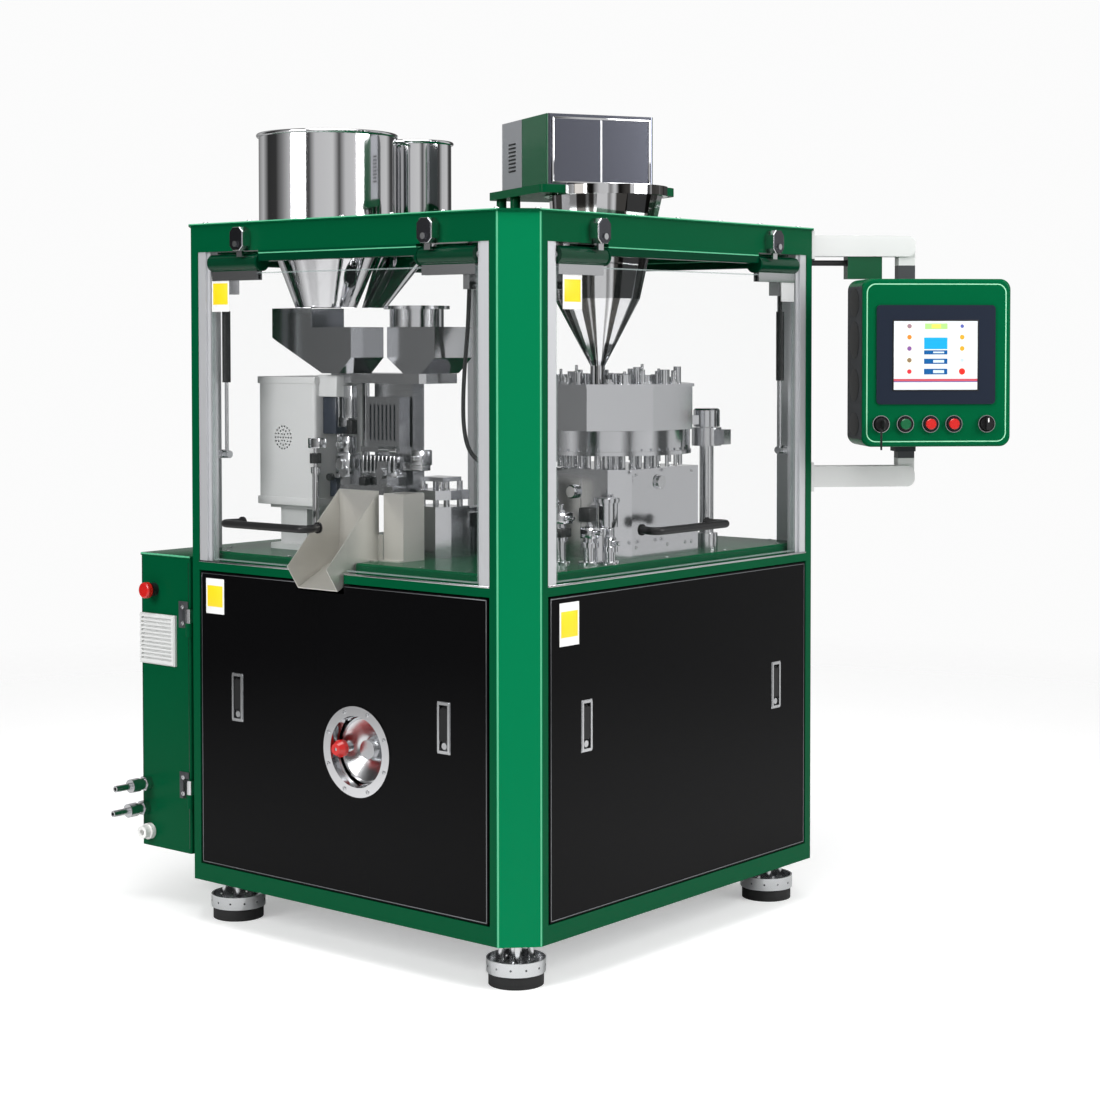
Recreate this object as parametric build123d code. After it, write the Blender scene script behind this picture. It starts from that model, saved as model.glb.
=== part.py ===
from build123d import *
import math
import os

# Sizes in millimetres. +Z is up, -Y is the front with the discharge chute and the handwheel,
# +X is the dosing side. The origin is on the floor under the middle of the frame.

# Frame
frame_width = 1100.0
frame_depth = 1184.0
frame_bottom = 105.0
table_level = 875.0
frame_top = 1675.0
post_chamfer = 65.0
post_flange = 24.0
post_return = 30.0
sheet = 3.0
rail_depth = 50.0
base_rail_height = 41.0
table_rail_height = 21.0
beam_height = 62.0
deck_thickness = 6.0
deck_overhang = 4.0
table_inset = 40.0
table_thickness = 22.0

# Feet
foot_inset = 105.0
foot_pad_radius = 61.0
foot_pad_height = 28.0
foot_cup_radius = 65.5
foot_cup_height = 30.0
foot_stud_radius = 15.0
foot_plate = 12.0

# Guard doors and their hinges
header_height = 26.0
header_depth = 28.0
hinge_axis_depth = 14.0
hinge_axis_drop = 27.0
barrel_radius = 20.0
barrel_length = 164.0
barrel_end_gap = 40.0
hinge_pin_radius = 8.0
running_gap = 0.05
seat_gap = 0.3
disc_radius = 21.5
disc_thickness = 6.0
door_glass = 8.0
jamb_width = 37.0
jamb_depth = 28.0
handle_radius = 9.0
handle_reach = 46.0
handle_length = 292.0
handle_level = 975.0
hinge_block_width = 45.0
hinge_block_height = 55.0
hinge_block_depth = 27.0

# Gas springs
spring_inset = 51.0
spring_depth = 44.0
spring_foot_level = 1131.0
spring_head_level = 1521.0
spring_tube_radius = 10.0
spring_rod_radius = 4.5
spring_tube_length = 170.0
spring_eye_radius = 9.0
spring_eye_width = 22.0
spring_pin_radius = 4.0

# Lower panels and latches
panel_sheet = 2.0
panel_flange = 22.0
panel_side_inset = 94.0
panel_gap = 3.0
latch_offset = 127.0
latch_level = 560.0
latch_width = 36.0
latch_height = 112.0
latch_pocket = 24.0

# Handwheel port
port_x = 65.0
port_level = 477.0
port_flange_radius = 103.0
port_bore_radius = 84.0
port_bowl_depth = 62.0
wheel_radius = 76.0
wheel_knob_radius = 20.0
wheel_knob_offset = 58.0

# Main shaft and drive
shaft_radius = 20.0
drive_floor = 6.0
turret_x = 65.0
turret_y = -90.0
turret_radius = 150.0
turret_stations = 12

# Dosing station
dosing_x = 308.0
dosing_y = 22.0
dosing_radius = 190.0
dosing_disc_top = 1193.0
column_x = 428.0
column_y = 249.0
column_radius = 17.0
sleeve_height = 44.0
sleeve_bore = 37.0

# Discharge chute
chute_left = -109.0
chute_right = 19.0
chute_sheet = 2.0
chute_clearance = 6.0
outlet_width = 62.0
outlet_depth = 70.0
outlet_top = 1052.0

# Capsule feeding
hopper_x = -278.0
hopper_y = -338.0
hopper_radius = 165.0
hopper_height = 219.0
side_hopper_x = -254.0
side_hopper_y = -52.0
side_hopper_radius = 90.0

# Powder feeding
funnel_x = 372.0
funnel_y = -75.0
funnel_radius = 135.0
feeder_turn = -28.0
feeder_width = 267.0
feeder_length = 289.0
feeder_height = 163.0
feeder_stand = 76.0
feeder_plate_thickness = 19.0

# Cable inside the guards
cable_radius = 5.0
corner_share = 0.45

# Electrical box
box_gap = 20.0
box_hinge_reach = 11.0
box_width = 184.0
box_depth = 700.0
box_bottom = 139.0
box_top = 870.0
estop_level = 784.0

# Control panel on its arm
arm_tube = 52.0
arm_upper_level = 1638.0
arm_lower_level = 1061.0
arm_reach = 249.0
control_bottom = 1142.0
control_top = 1552.0
control_width = 372.0
control_thickness = 150.0
ring_radius = 20.5
ring_bore = 17.0

half_w = frame_width / 2
half_d = frame_depth / 2
post_width = post_chamfer + post_flange
beam_bottom = frame_top - beam_height
axis_level = beam_bottom - hinge_axis_drop
table_top = table_level + table_thickness
panel_bottom = frame_bottom + base_rail_height + panel_gap
panel_top = table_level - table_rail_height - panel_gap
deck_top = frame_top + deck_thickness
hopper_top = deck_top + hopper_height
feeder_plate_top = deck_top + feeder_stand
box_front = -half_d + post_chamfer
box_right = -half_w - box_gap
box_hinge_x = -half_w - box_gap / 2
box_hinge_y = box_front - box_hinge_reach
estop_x = box_right - 133.0
filter_left = box_right - 182.0
filter_right = box_right - 50.0
air_coupling_x = box_right - 159.0
vacuum_coupling_x = box_right - 169.0
gland_x = box_right - 153.0

# Each side: turn about Z from the front, distance of its face from the axis, half its width
SIDES = {
    "front": (0, half_d, half_w),
    "right": (90, half_w, half_d),
    "rear": (180, half_d, half_w),
    "left": (270, half_w, half_d),
}
DOOR_SIDES = {"front": "front", "side": "right"}


def block(x0, x1, y0, y1, z0, z1):
    return Pos((x0 + x1) / 2, (y0 + y1) / 2, (z0 + z1) / 2) * Box(abs(x1 - x0), abs(y1 - y0), abs(z1 - z0))


def rod(radius, start, axis, length):
    """Solid cylinder from start along X, Y or Z; a negative length runs the other way."""
    turn = {"x": Rot(0, 90, 0), "y": Rot(-90, 0, 0), "z": Rot(0, 0, 0)}[axis]
    solid = turn * Pos(0, 0, length / 2) * Cylinder(radius, abs(length))
    return Pos(*start) * solid


def tube(outer, inner, start, axis, length):
    return rod(outer, start, axis, length) - rod(inner, start, axis, length)


def prism(points, plane, start, length):
    """Closed outline on a plane, extruded along the plane's normal from start by length."""
    face = make_face(Polyline(*points, close=True))
    return extrude(plane * Pos(0, 0, start) * face, length)


def frustum(bottom, bottom_radius, top, top_radius):
    """Oblique cone between two level circles."""
    low = Pos(*bottom) * Circle(bottom_radius)
    high = Pos(*top) * Circle(top_radius)
    return loft([low, high])


def on_side(side, shape):
    """Turn a shape drawn on the front face to another side of the frame."""
    return Rot(0, 0, SIDES[side][0]) * shape


def half_open(side):
    return SIDES[side][2] - post_width


def save(shape, name):
    export_step(shape if isinstance(shape, Compound) else Compound(children=[shape]), f"parts/{name}.step")


def group(shapes):
    solids = []
    for shape in shapes:
        solids += list(shape.solids())
    return Compound(children=solids)


# Frame

def corner_post(sx, sy):
    c, w, r = post_chamfer, post_width, post_return
    outline = [(c, 0), (w, 0), (w, r), (r, w), (0, w), (0, c)]
    points = [(sx * (half_w - u), sy * (half_d - v)) for u, v in outline]
    face = make_face(Polyline(*points, close=True))
    inner = offset(face, amount=-sheet, kind=Kind.INTERSECTION)
    hollow = extrude(face - inner, frame_top - frame_bottom)
    plate = extrude(face, sheet)
    return Pos(0, 0, frame_bottom) * (hollow + plate)


def frame_posts():
    return group(corner_post(sx, sy) for sx in (1, -1) for sy in (1, -1))


def hollow_rail(side, bottom, top, depth):
    face = SIDES[side][1]
    reach = half_open(side)
    outer = block(-reach, reach, -face, -face + depth, bottom, top)
    inner = block(-reach, reach, -face + sheet, -face + depth - sheet, bottom + sheet, top - sheet)
    return outer - inner


def chute_gap():
    """Space the chute takes out of the rail, the table edge and the front panel."""
    left = chute_left - chute_clearance
    right = chute_right + chute_clearance
    back = chute_outline()[3][0] + chute_clearance
    return block(left, right, -half_d - 60, back, chute_outline()[1][1] - chute_clearance, table_top + 80)


def foot_gusset(sx, sy):
    """Corner plate between two base rails and the post, over a foot."""
    near, far = rail_depth, foot_inset + 50
    cut = post_width + post_return - near
    outline = [(cut, near), (far, near), (far, far), (near, far), (near, cut)]
    points = [(sx * (half_w - u), sy * (half_d - v)) for u, v in outline]
    return prism(points, Plane.XY, frame_bottom, foot_plate)


def panel_stops(side):
    """Lugs on the rails that a lower panel's flange seats against."""
    face = SIDES[side][1]
    y = -face + panel_flange + seat_gap
    reach = SIDES[side][2] - panel_side_inset - 60
    low = frame_bottom + base_rail_height
    high = table_level - table_rail_height
    stops = []
    for u in (-reach, reach):
        stops.append(block(u - 20, u + 20, y, y + 6, low, low + 18))
        stops.append(block(u - 20, u + 20, y, y + 6, high - 18, high))
    return stops


def frame_rails():
    rails = [foot_gusset(sx, sy) for sx in (-1, 1) for sy in (-1, 1)]
    for side in SIDES:
        rails.append(on_side(side, hollow_rail(side, frame_bottom, frame_bottom + base_rail_height, rail_depth)))
        rails.append(on_side(side, hollow_rail(side, beam_bottom, frame_top, rail_depth)))
        rail = on_side(side, hollow_rail(side, table_level - table_rail_height, table_level, rail_depth))
        if side == "front":
            rail = rail - chute_gap()
        rails.append(rail)
        rails += [on_side(side, stop) for stop in panel_stops(side)]
    return group(rails)


def level_plate(inset, corner, bottom, thickness):
    """Rectangular plate inside the frame with its corners cut clear of the posts."""
    x, y = half_w - inset, half_d - inset
    leg = corner
    points = [(x - leg, -y), (x, -y + leg), (x, y - leg), (x - leg, y),
              (-x + leg, y), (-x, y - leg), (-x, -y + leg), (-x + leg, -y)]
    return prism(points, Plane.XY, bottom, thickness)


def post_corner_leg(inset):
    return post_width + post_return + panel_gap - 2 * inset


def table_plate():
    plate = level_plate(table_inset, post_corner_leg(table_inset), table_level, table_thickness)
    rim = plate.edges().group_by(Axis.Z)[-1]
    plate = chamfer(rim, 4)
    plate = plate - chute_gap()
    plate = plate - rod(shaft_radius + 10, (turret_x, turret_y, table_level - 1), "z", table_thickness + 2)
    plate = plate - rod(shaft_radius + 10, (dosing_x, dosing_y, table_level - 1), "z", table_thickness + 2)
    return plate


def deck_plate():
    x, y = half_w + deck_overhang, half_d + deck_overhang
    leg = post_chamfer
    points = [(x - leg, -y), (x, -y + leg), (x, y - leg), (x - leg, y),
              (-x + leg, y), (-x, y - leg), (-x, -y + leg), (-x + leg, -y)]
    plate = prism(points, Plane.XY, frame_top, deck_thickness)
    plate = fillet(plate.edges().filter_by(Axis.Z), 14)
    holes = [
        rod(hopper_radius - 12, (hopper_x, hopper_y, frame_top - 1), "z", deck_thickness + 2),
        rod(side_hopper_radius - 8, (side_hopper_x, side_hopper_y, frame_top - 1), "z", deck_thickness + 2),
        rod(funnel_radius + 12, (funnel_x, funnel_y, frame_top - 1), "z", deck_thickness + 2),
    ]
    for hole in holes:
        plate = plate - hole
    return plate


def foot_centres():
    x, y = half_w - foot_inset, half_d - foot_inset
    return [(sx * x, sy * y) for sx in (-1, 1) for sy in (-1, 1)]


def foot_pad():
    pad = rod(foot_pad_radius, (0, 0, 0), "z", foot_pad_height)
    pad = fillet(pad.edges().group_by(Axis.Z)[-1], 5)
    return pad


def foot_cup():
    """Open metal cup on the pad, its stud, nut and four tie bolts up to the round plate."""
    wall = tube(foot_cup_radius, foot_cup_radius - 4, (0, 0, foot_pad_height), "z", foot_cup_height)
    floor = rod(foot_cup_radius - 4, (0, 0, foot_pad_height), "z", 5)
    for k in range(12):
        hole = Rot(0, 0, 30 * k) * rod(2.5, (foot_cup_radius - 8, 0, foot_pad_height + foot_cup_height / 2), "x", 12)
        wall = wall - hole
    stud = rod(foot_stud_radius, (0, 0, foot_pad_height + 5), "z", frame_bottom - foot_pad_height - 5)
    plate = rod(44, (0, 0, frame_bottom - 9), "z", 9)
    nut = prism(hexagon(24), Plane.XY, foot_pad_height + 5, 14)
    cup = wall + floor + stud + plate + nut
    for k in range(4):
        angle = math.radians(45 + 90 * k)
        x, y = 32 * math.cos(angle), 32 * math.sin(angle)
        cup = cup + rod(7, (x, y, foot_pad_height + 5), "z", frame_bottom - 9 - foot_pad_height - 5)
        cup = cup + Pos(x, y, 0) * prism(hexagon(12), Plane.XY, foot_pad_height + 5, 10)
    return cup


def hexagon(radius):
    return [(radius * math.cos(math.radians(60 * k)), radius * math.sin(math.radians(60 * k))) for k in range(6)]


# Guard doors

def hinge_span(side):
    outer = half_open(side) - barrel_end_gap
    return outer - barrel_length, outer


def header(side):
    """Fixed rail under the top beam; on a door side, with the discs and pins of the two barrels."""
    face = SIDES[side][1]
    inner, outer = hinge_span(side)
    has_door = side in DOOR_SIDES.values()
    rail_end = inner - seat_gap - disc_thickness if has_door else half_open(side) - jamb_width
    rail = block(-rail_end, rail_end, -face, -face + header_depth, beam_bottom - header_height, beam_bottom)
    rail = fillet(rail.edges().filter_by(Axis.X).group_by(Axis.Z)[0], 3)
    y = -face + hinge_axis_depth
    body = rail
    if not has_door:
        return body
    for sign in (-1, 1):
        body = body + rod(disc_radius, (sign * rail_end, y, axis_level), "x", sign * disc_thickness)
        body = body + rod(hinge_pin_radius, (sign * rail_end, y, axis_level), "x", sign * (disc_thickness + 60))
    return body


def hinge_block(side, sign):
    face = SIDES[side][1]
    u = sign * (half_open(side) - 163)
    w, d, h = hinge_block_width / 2, hinge_block_depth, hinge_block_height
    z = beam_bottom - 1 + h / 2
    body = block(u - w, u + w, -face - d, -face, z - h / 2, z + h / 2)
    body = chamfer(body.edges().filter_by(Axis.Y), 11)
    body = fillet(body.faces().sort_by(Axis.Y)[0].edges(), 3)
    screw = rod(7, (u, -face - d + 1, z - 12), "y", -5)
    ear = block(u - 9, u + 9, -face - 16, -face - 10, z - h / 2 - 14, z - h / 2 + 3)
    return body + screw + ear


def jamb_strip(side, sign):
    face = SIDES[side][1]
    edge = half_open(side)
    inner = edge - jamb_width
    step = inner + 11
    points = [(inner, -face + 8), (step, -face + 8), (step, -face + 2), (edge, -face + 2),
              (edge, -face + 2 + jamb_depth), (inner, -face + 2 + jamb_depth)]
    points = [(sign * u, v) for u, v in points]
    strip = prism(points, Plane.XY, table_level, beam_bottom - table_level)
    if side not in DOOR_SIDES.values():
        return strip
    pin_y = -face + hinge_axis_depth
    outer = hinge_span(side)[1]
    pin_start = sign * (inner + 2)
    strip = strip + rod(hinge_pin_radius, (pin_start, pin_y, axis_level), "x", -sign * (inner + 2 - outer + 40))
    return strip


def door_glass_panel(side):
    face = SIDES[side][1]
    reach = half_open(side) - jamb_width - panel_gap
    y = -face + hinge_axis_depth
    top = axis_level - barrel_radius - 4
    glass = block(-reach, reach, y - door_glass / 2, y + door_glass / 2, table_level + 5, top)
    if side == "front":
        left = chute_left - chute_clearance
        right = chute_right + chute_clearance
        glass = glass - block(left, right, y - 10, y + 10, table_level, chute_door_level())
    return glass


def chute_door_level():
    """Height of the cut-out in the front glass: the chute's rim where it passes the glass."""
    outline = chute_outline()
    y = -half_d + hinge_axis_depth + door_glass / 2
    slope = (outline[4][1] - outline[0][1]) / (outline[4][0] - outline[0][0])
    return outline[0][1] + slope * (y - outline[0][0]) + 2 * chute_clearance


def door_fittings(side):
    """Hinge barrels with their glass clamps, spring brackets and the bow handle."""
    face = SIDES[side][1]
    y = -face + hinge_axis_depth
    inner, outer = hinge_span(side)
    clamp_bottom = axis_level - barrel_radius - 22
    pieces = []
    for sign in (-1, 1):
        barrel = rod(barrel_radius, (sign * inner, y, axis_level), "x", sign * (outer - inner))
        clamp = block(sign * (inner + 4), sign * (outer - 4), y - 8, y + 8, clamp_bottom, axis_level - 10)
        slot = block(sign * inner, sign * outer, y - door_glass / 2, y + door_glass / 2,
                     clamp_bottom - 1, axis_level - barrel_radius - 4)
        spring_u = half_open(side) - spring_inset
        stud_end = spring_u - spring_eye_width / 2 - 1
        bracket = block(sign * (stud_end - 26), sign * (stud_end - 8), y + 8 - 0.01, -face + spring_depth + 8,
                        spring_head_level - 9, axis_level - barrel_radius - 2)
        bracket = bracket + block(sign * (stud_end - 26), sign * (stud_end - 8), y + door_glass / 2, y + 8,
                                  spring_head_level - 9, clamp_bottom + 1)
        stud = rod(spring_pin_radius, (sign * (stud_end - 10), -face + spring_depth, spring_head_level),
                   "x", sign * 10)
        piece = barrel + clamp - slot
        piece = piece + bracket + stud
        piece = piece - rod(hinge_pin_radius + running_gap, (sign * (inner - 1), y, axis_level), "x",
                            sign * (outer - inner + 2))
        pieces.append(piece)
    pieces.append(bow_handle(side))
    return group(pieces)


def bow_handle(side):
    face = SIDES[side][1]
    centre = -191.0 if side == "front" else -36.0
    glass_front = -face + hinge_axis_depth - door_glass / 2
    out = -face - handle_reach
    half = handle_length / 2
    path = FilletPolyline((centre - half + 20, glass_front, handle_level), (centre - half, out, handle_level),
                          (centre + half, out, handle_level), (centre + half - 20, glass_front, handle_level),
                          radius=18)
    start = Plane(origin=path @ 0, z_dir=path % 0)
    bar = sweep(start * Circle(handle_radius), path)
    bar = bar - block(centre - half - 40, centre + half + 40, glass_front, glass_front + 30,
                      handle_level - 30, handle_level + 30)
    for sign in (-1, 1):
        bar = bar + rod(13, (centre + sign * (half - 20), glass_front, handle_level), "y", -5)
    return bar


def guard_window(side):
    """Fixed clear guard of the two far sides, held in the jambs."""
    face = SIDES[side][1]
    reach = half_open(side) - jamb_width
    y = -face + hinge_axis_depth
    glass = block(-reach, reach, y - door_glass / 2, y + door_glass / 2, table_level, beam_bottom - header_height)
    return glass


def spring_places(side):
    u = half_open(side) - spring_inset
    return [-u, u], -SIDES[side][1] + spring_depth


def spring_rods(side):
    places, y = spring_places(side)
    pieces = []
    for u in places:
        start = u - spring_eye_width / 2
        eye = rod(spring_eye_radius, (start, y, spring_foot_level), "x", spring_eye_width)
        top = spring_head_level - 48 - 40
        shaft = rod(spring_rod_radius, (u, y, spring_foot_level + 2), "z", top - spring_foot_level - 2)
        piece = eye + shaft
        piece = piece - rod(spring_pin_radius + running_gap, (start - 1, y, spring_foot_level), "x",
                            spring_eye_width + 2)
        pieces.append(piece)
    return group(pieces)


def spring_tubes(side):
    places, y = spring_places(side)
    pieces = []
    for u in places:
        top = spring_head_level - 48
        body = rod(spring_tube_radius, (u, y, top - spring_tube_length), "z", spring_tube_length)
        body = body - rod(spring_rod_radius + running_gap, (u, y, top - spring_tube_length - 1), "z",
                          spring_tube_length - 10)
        neck = rod(5, (u, y, top - 1), "z", spring_head_level - top)
        eye = rod(spring_eye_radius, (u - spring_eye_width / 2, y, spring_head_level), "x", spring_eye_width)
        pieces.append(body + neck + eye)
    return group(pieces)


def spring_bracket(side, sign):
    face = SIDES[side][1]
    edge = half_open(side)
    u = edge - spring_inset + spring_eye_width / 2 + seat_gap
    v0 = 2 + jamb_depth
    v1 = spring_depth + 12
    points = [(u, v0), (edge, v0), (edge + v1 - post_return, v1), (u, v1)]
    points = [(sign * a, -face + b) for a, b in points]
    plate = prism(points, Plane.XY, spring_foot_level - 10, 20)
    pin = rod(spring_pin_radius, (sign * (u + 4), -face + spring_depth, spring_foot_level), "x",
              -sign * (4 + seat_gap + spring_eye_width))
    return plate + pin


# Lower panels

def lower_panel(side):
    """Pressed cover with a return flange all round."""
    face = SIDES[side][1]
    reach = SIDES[side][2] - panel_side_inset
    skin = block(-reach, reach, -face, -face + panel_flange, panel_bottom, panel_top)
    skin = fillet(skin.edges().filter_by(Axis.Y), 4)
    s = panel_sheet
    hollow = block(-reach + s, reach - s, -face + s, -face + panel_flange + 1, panel_bottom + s, panel_top - s)
    skin = skin - hollow
    if side == "front":
        notch = chute_gap()
        edge = block(chute_left - chute_clearance - s, chute_right + chute_clearance + s, -face,
                     -face + panel_flange, chute_outline()[1][1] - chute_clearance - s, panel_top)
        skin = skin + edge - notch
        skin = skin - rod(port_bore_radius + 3, (port_x, -face - 1, port_level), "y", panel_flange)
    return skin


def latch_places(side):
    u = SIDES[side][2] - panel_side_inset - latch_offset
    return (-u, u)


def latch_case(side, u):
    """Chromed flush case: a rim on the skin and a pocket behind it with the lock barrel."""
    face = SIDES[side][1]
    w, h = latch_width / 2, latch_height / 2
    z = latch_level
    rim = block(u - w, u + w, -face - 2, -face, z - h, z + h)
    rim = fillet(rim.edges().filter_by(Axis.Y), 5)
    pocket = block(u - w + 3, u + w - 3, -face, -face + latch_pocket, z - h + 3, z + h - 3)
    cavity = block(u - w + 6, u + w - 6, -face - 3, -face + latch_pocket - 3, z - h + 6, z + h - 6)
    case = rim + pocket - cavity
    lock = rod(7.5, (u, -face + latch_pocket - 2, z - h + 16), "y", -(latch_pocket - 3))
    pin = rod(2.5, (u - w + 5, -face + 9, z + h - 16), "x", latch_width - 10)
    return case + lock + pin


def panel_with_latches(side):
    skin = lower_panel(side)
    w, h = latch_width / 2 - 3, latch_height / 2 - 3
    face = SIDES[side][1]
    for u in latch_places(side):
        skin = skin - block(u - w, u + w, -face - 1, -face + panel_flange, latch_level - h, latch_level + h)
    cases = [latch_case(side, u) for u in latch_places(side)]
    return group([skin] + cases)


def latch_lever(side, u):
    face = SIDES[side][1]
    half = latch_width / 2 - 7.5
    pivot = latch_level + latch_height / 2 - 16
    foot = latch_level - latch_height / 2 + 27
    grip = block(u - half, u + half, -face - 1, -face + 5, foot, pivot + 2)
    grip = fillet(grip.edges().filter_by(Axis.Y), 3)
    boss = rod(6, (u - half, -face + 9, pivot), "x", 2 * half)
    lever = grip + boss
    return lever - rod(2.5 + running_gap, (u - half - 1, -face + 9, pivot), "x", 2 * half + 2)


# Handwheel

def handwheel_port():
    y = -half_d
    flange = tube(port_flange_radius, port_bore_radius - 3, (port_x, y, port_level), "y", -4)
    bowl = tube(port_bore_radius, port_bore_radius - 3, (port_x, y, port_level), "y", port_bowl_depth)
    back = tube(port_bore_radius, 14, (port_x, y + port_bowl_depth, port_level), "y", 4)
    boss = tube(24, 14 + running_gap, (port_x, y + port_bowl_depth + 3, port_level), "y", 22)
    body = flange + bowl + back + boss
    return body - rod(14 + running_gap, (port_x, y + port_bowl_depth - 1, port_level), "y", 40)


def handwheel():
    """Polished dished wheel on a short shaft whose dog meets the main shaft's coupling."""
    y = -half_d
    back = port_bowl_depth
    profile = [(0, back - 2), (wheel_radius, back - 26), (wheel_radius, back - 34), (wheel_radius - 6, back - 34),
               (22, back - 14), (22, back - 30), (0, back - 30)]
    face = make_face(Polyline(*[(r, d) for r, d in profile], close=True))
    dish = revolve(Plane.XY * face, Axis.Y, 360)
    shaft = rod(14, (0, back - 6, 0), "y", 54)
    dog = block(-4, 4, back + 47, back + 58, -13, 13)
    wheel = dish + shaft + dog
    boss = rod(11, (-wheel_knob_offset, back - 18, 0), "y", -20)
    pin = rod(4, (-wheel_knob_offset, back - 37, 0), "y", -34)
    wheel = wheel + boss + pin
    return Pos(port_x, y, port_level) * wheel


def handwheel_knob():
    y = -half_d + port_bowl_depth - 38 - seat_gap
    r = wheel_knob_radius
    profile = [(4 + running_gap, 0), (11, 0), (r, 12), (r, 22), (13, 34), (4 + running_gap, 34)]
    face = make_face(Polyline(*[(a, -b) for a, b in profile], close=True))
    knob = revolve(Plane.XY * face, Axis.Y, 360)
    return Pos(port_x - wheel_knob_offset, y, port_level) * knob


# Drive in the lower cabinet

def main_shaft():
    start = -half_d + port_bowl_depth + 49 + seat_gap
    end = 500.0
    shaft = rod(shaft_radius, (port_x, start + 12, port_level), "y", end - start - 12)
    cup = rod(26, (port_x, start, port_level), "y", 24)
    cup = cup - block(port_x - 4.3, port_x + 4.3, start - 1, start + 11, port_level - 14, port_level + 14)
    shaft = shaft + cup
    for k, y in enumerate((-300, -240, 60, 120, 240)):
        shaft = shaft + cam_disc(y, 40 * k)
    return shaft


def cam_disc(y, turn):
    disc = rod(58, (0, 0, 0), "y", 16) + rod(44, (24, 0, 14), "y", 16)
    return Pos(port_x, y, port_level) * Rot(0, turn, 0) * disc


def drive_base():
    """Floor plate of the cabinet with the two bearing pedestals of the main shaft."""
    inset = panel_flange + 10
    bottom = frame_bottom + base_rail_height
    plate = level_plate(inset, post_corner_leg(inset), bottom, drive_floor)
    for y in (-400, 340):
        stand = block(port_x - 60, port_x + 60, y - 12, y + 12, bottom + drive_floor - 1, port_level + 45)
        foot = block(port_x - 80, port_x + 80, y - 30, y + 30, bottom + drive_floor - 1, bottom + drive_floor + 14)
        stand = chamfer(stand.edges().filter_by(Axis.Y).group_by(Axis.Z)[-1], 26)
        bearing = rod(38, (port_x, y - 22, port_level), "y", 44)
        plate = plate + stand + foot + bearing
        plate = plate - rod(shaft_radius + running_gap, (port_x, y - 40, port_level), "y", 80)
    return plate


def drive_motor():
    """Worm reducer on the main shaft's rear end, with the finned motor flanged to its side."""
    y0, y1 = 400.0, 480.0
    floor = frame_bottom + base_rail_height + drive_floor
    case = block(port_x - 75, port_x + 75, y0, y1, port_level - 85, port_level + 85)
    case = chamfer(case.edges().filter_by(Axis.Y), 22)
    foot = block(port_x - 70, port_x + 70, y0 + 8, y1 - 8, floor, port_level - 84)
    case = case + foot - rod(shaft_radius + running_gap, (port_x, y0 - 1, port_level), "y", 110)
    axis_y, axis_z = (y0 + y1) / 2, port_level + 10
    motor = rod(66, (port_x - 74, axis_y, axis_z), "x", -230)
    for k in range(16):
        fin = block(-76, -60, -2, 2, 20, 210)
        motor = motor + Pos(port_x - 74, axis_y, axis_z) * Rot(0, -90, 0) * Rot(0, 0, 22.5 * k) * fin
    flange = rod(80, (port_x - 74, axis_y, axis_z), "x", -14)
    cowl = rod(78, (port_x - 290, axis_y, axis_z), "x", -50)
    box = block(port_x - 190, port_x - 110, axis_y - 45, axis_y + 45, axis_z + 60, axis_z + 108)
    return case + motor + flange + cowl + box


def index_box():
    """Indexing gearbox hung under the table, with its timing case down to the main shaft."""
    w = 100.0
    body = block(turret_x - w, turret_x + w, turret_y - w, turret_y + w, 610, table_level - 14)
    body = fillet(body.edges().filter_by(Axis.Z), 10)
    flange = block(turret_x - w - 20, turret_x + w + 20, turret_y - w - 20, turret_y + w + 20,
                   table_level - 14, table_level)
    case = block(port_x - 55, port_x + 55, turret_y - 22, turret_y + 22, port_level - 55, 612)
    body = body + flange + case
    body = body - rod(shaft_radius + running_gap, (port_x, turret_y - 40, port_level), "y", 80)
    return body - rod(shaft_radius + running_gap, (turret_x, turret_y, 780), "z", 140)


def vacuum_pump():
    floor = frame_bottom + base_rail_height + drive_floor
    x, y, z = -290.0, -60.0, floor + 118
    body = rod(80, (x, y - 120, z), "y", 150)
    motor = rod(70, (x, y + 30, z), "y", 190)
    foot = block(x - 75, x + 75, y - 110, y + 200, floor, floor + 20)
    stand = block(x - 40, x + 40, y - 90, y + 180, floor + 18, z - 50)
    inlet = rod(22, (x, y - 60, z + 60), "z", 70)
    return body + motor + foot + stand + inlet


# Turret

def turret_housing():
    drum = rod(128, (turret_x, turret_y, table_top), "z", 62)
    drum = drum - rod(100, (turret_x, turret_y, table_top + 10), "z", 60)
    neck = rod(46, (turret_x, turret_y, table_top), "z", 60)
    drum = drum + neck
    drum = drum - rod(shaft_radius + running_gap, (turret_x, turret_y, table_top - 1), "z", 70)
    column = closing_column()
    return group([drum, column])


def closing_column():
    """Capsule closing station in front of the turret: faceted column, posts and cap plate."""
    x, y = 52.0, -292.0
    w = 56.0
    outline = [(-w, -30), (-30, -w), (30, -w), (w, -30), (w, 34), (-w, 34)]
    column = Pos(x, y, 0) * prism(outline, Plane.XY, table_top, 118)
    cap = Pos(x, y, 0) * prism(outline, Plane.XY, table_top + 134, 22)
    body = column + cap
    for dx, dy in ((-38, -26), (38, -26), (-38, 20), (38, 20)):
        body = body + rod(7, (x + dx, y + dy, table_top + 117), "z", 60)
    head = block(x - 36, x + 36, y - 36, y + 28, table_top + 176, table_top + 186)
    nozzle = rod(12, (x, y, table_top + 155), "z", 22)
    return body + head + nozzle


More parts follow.
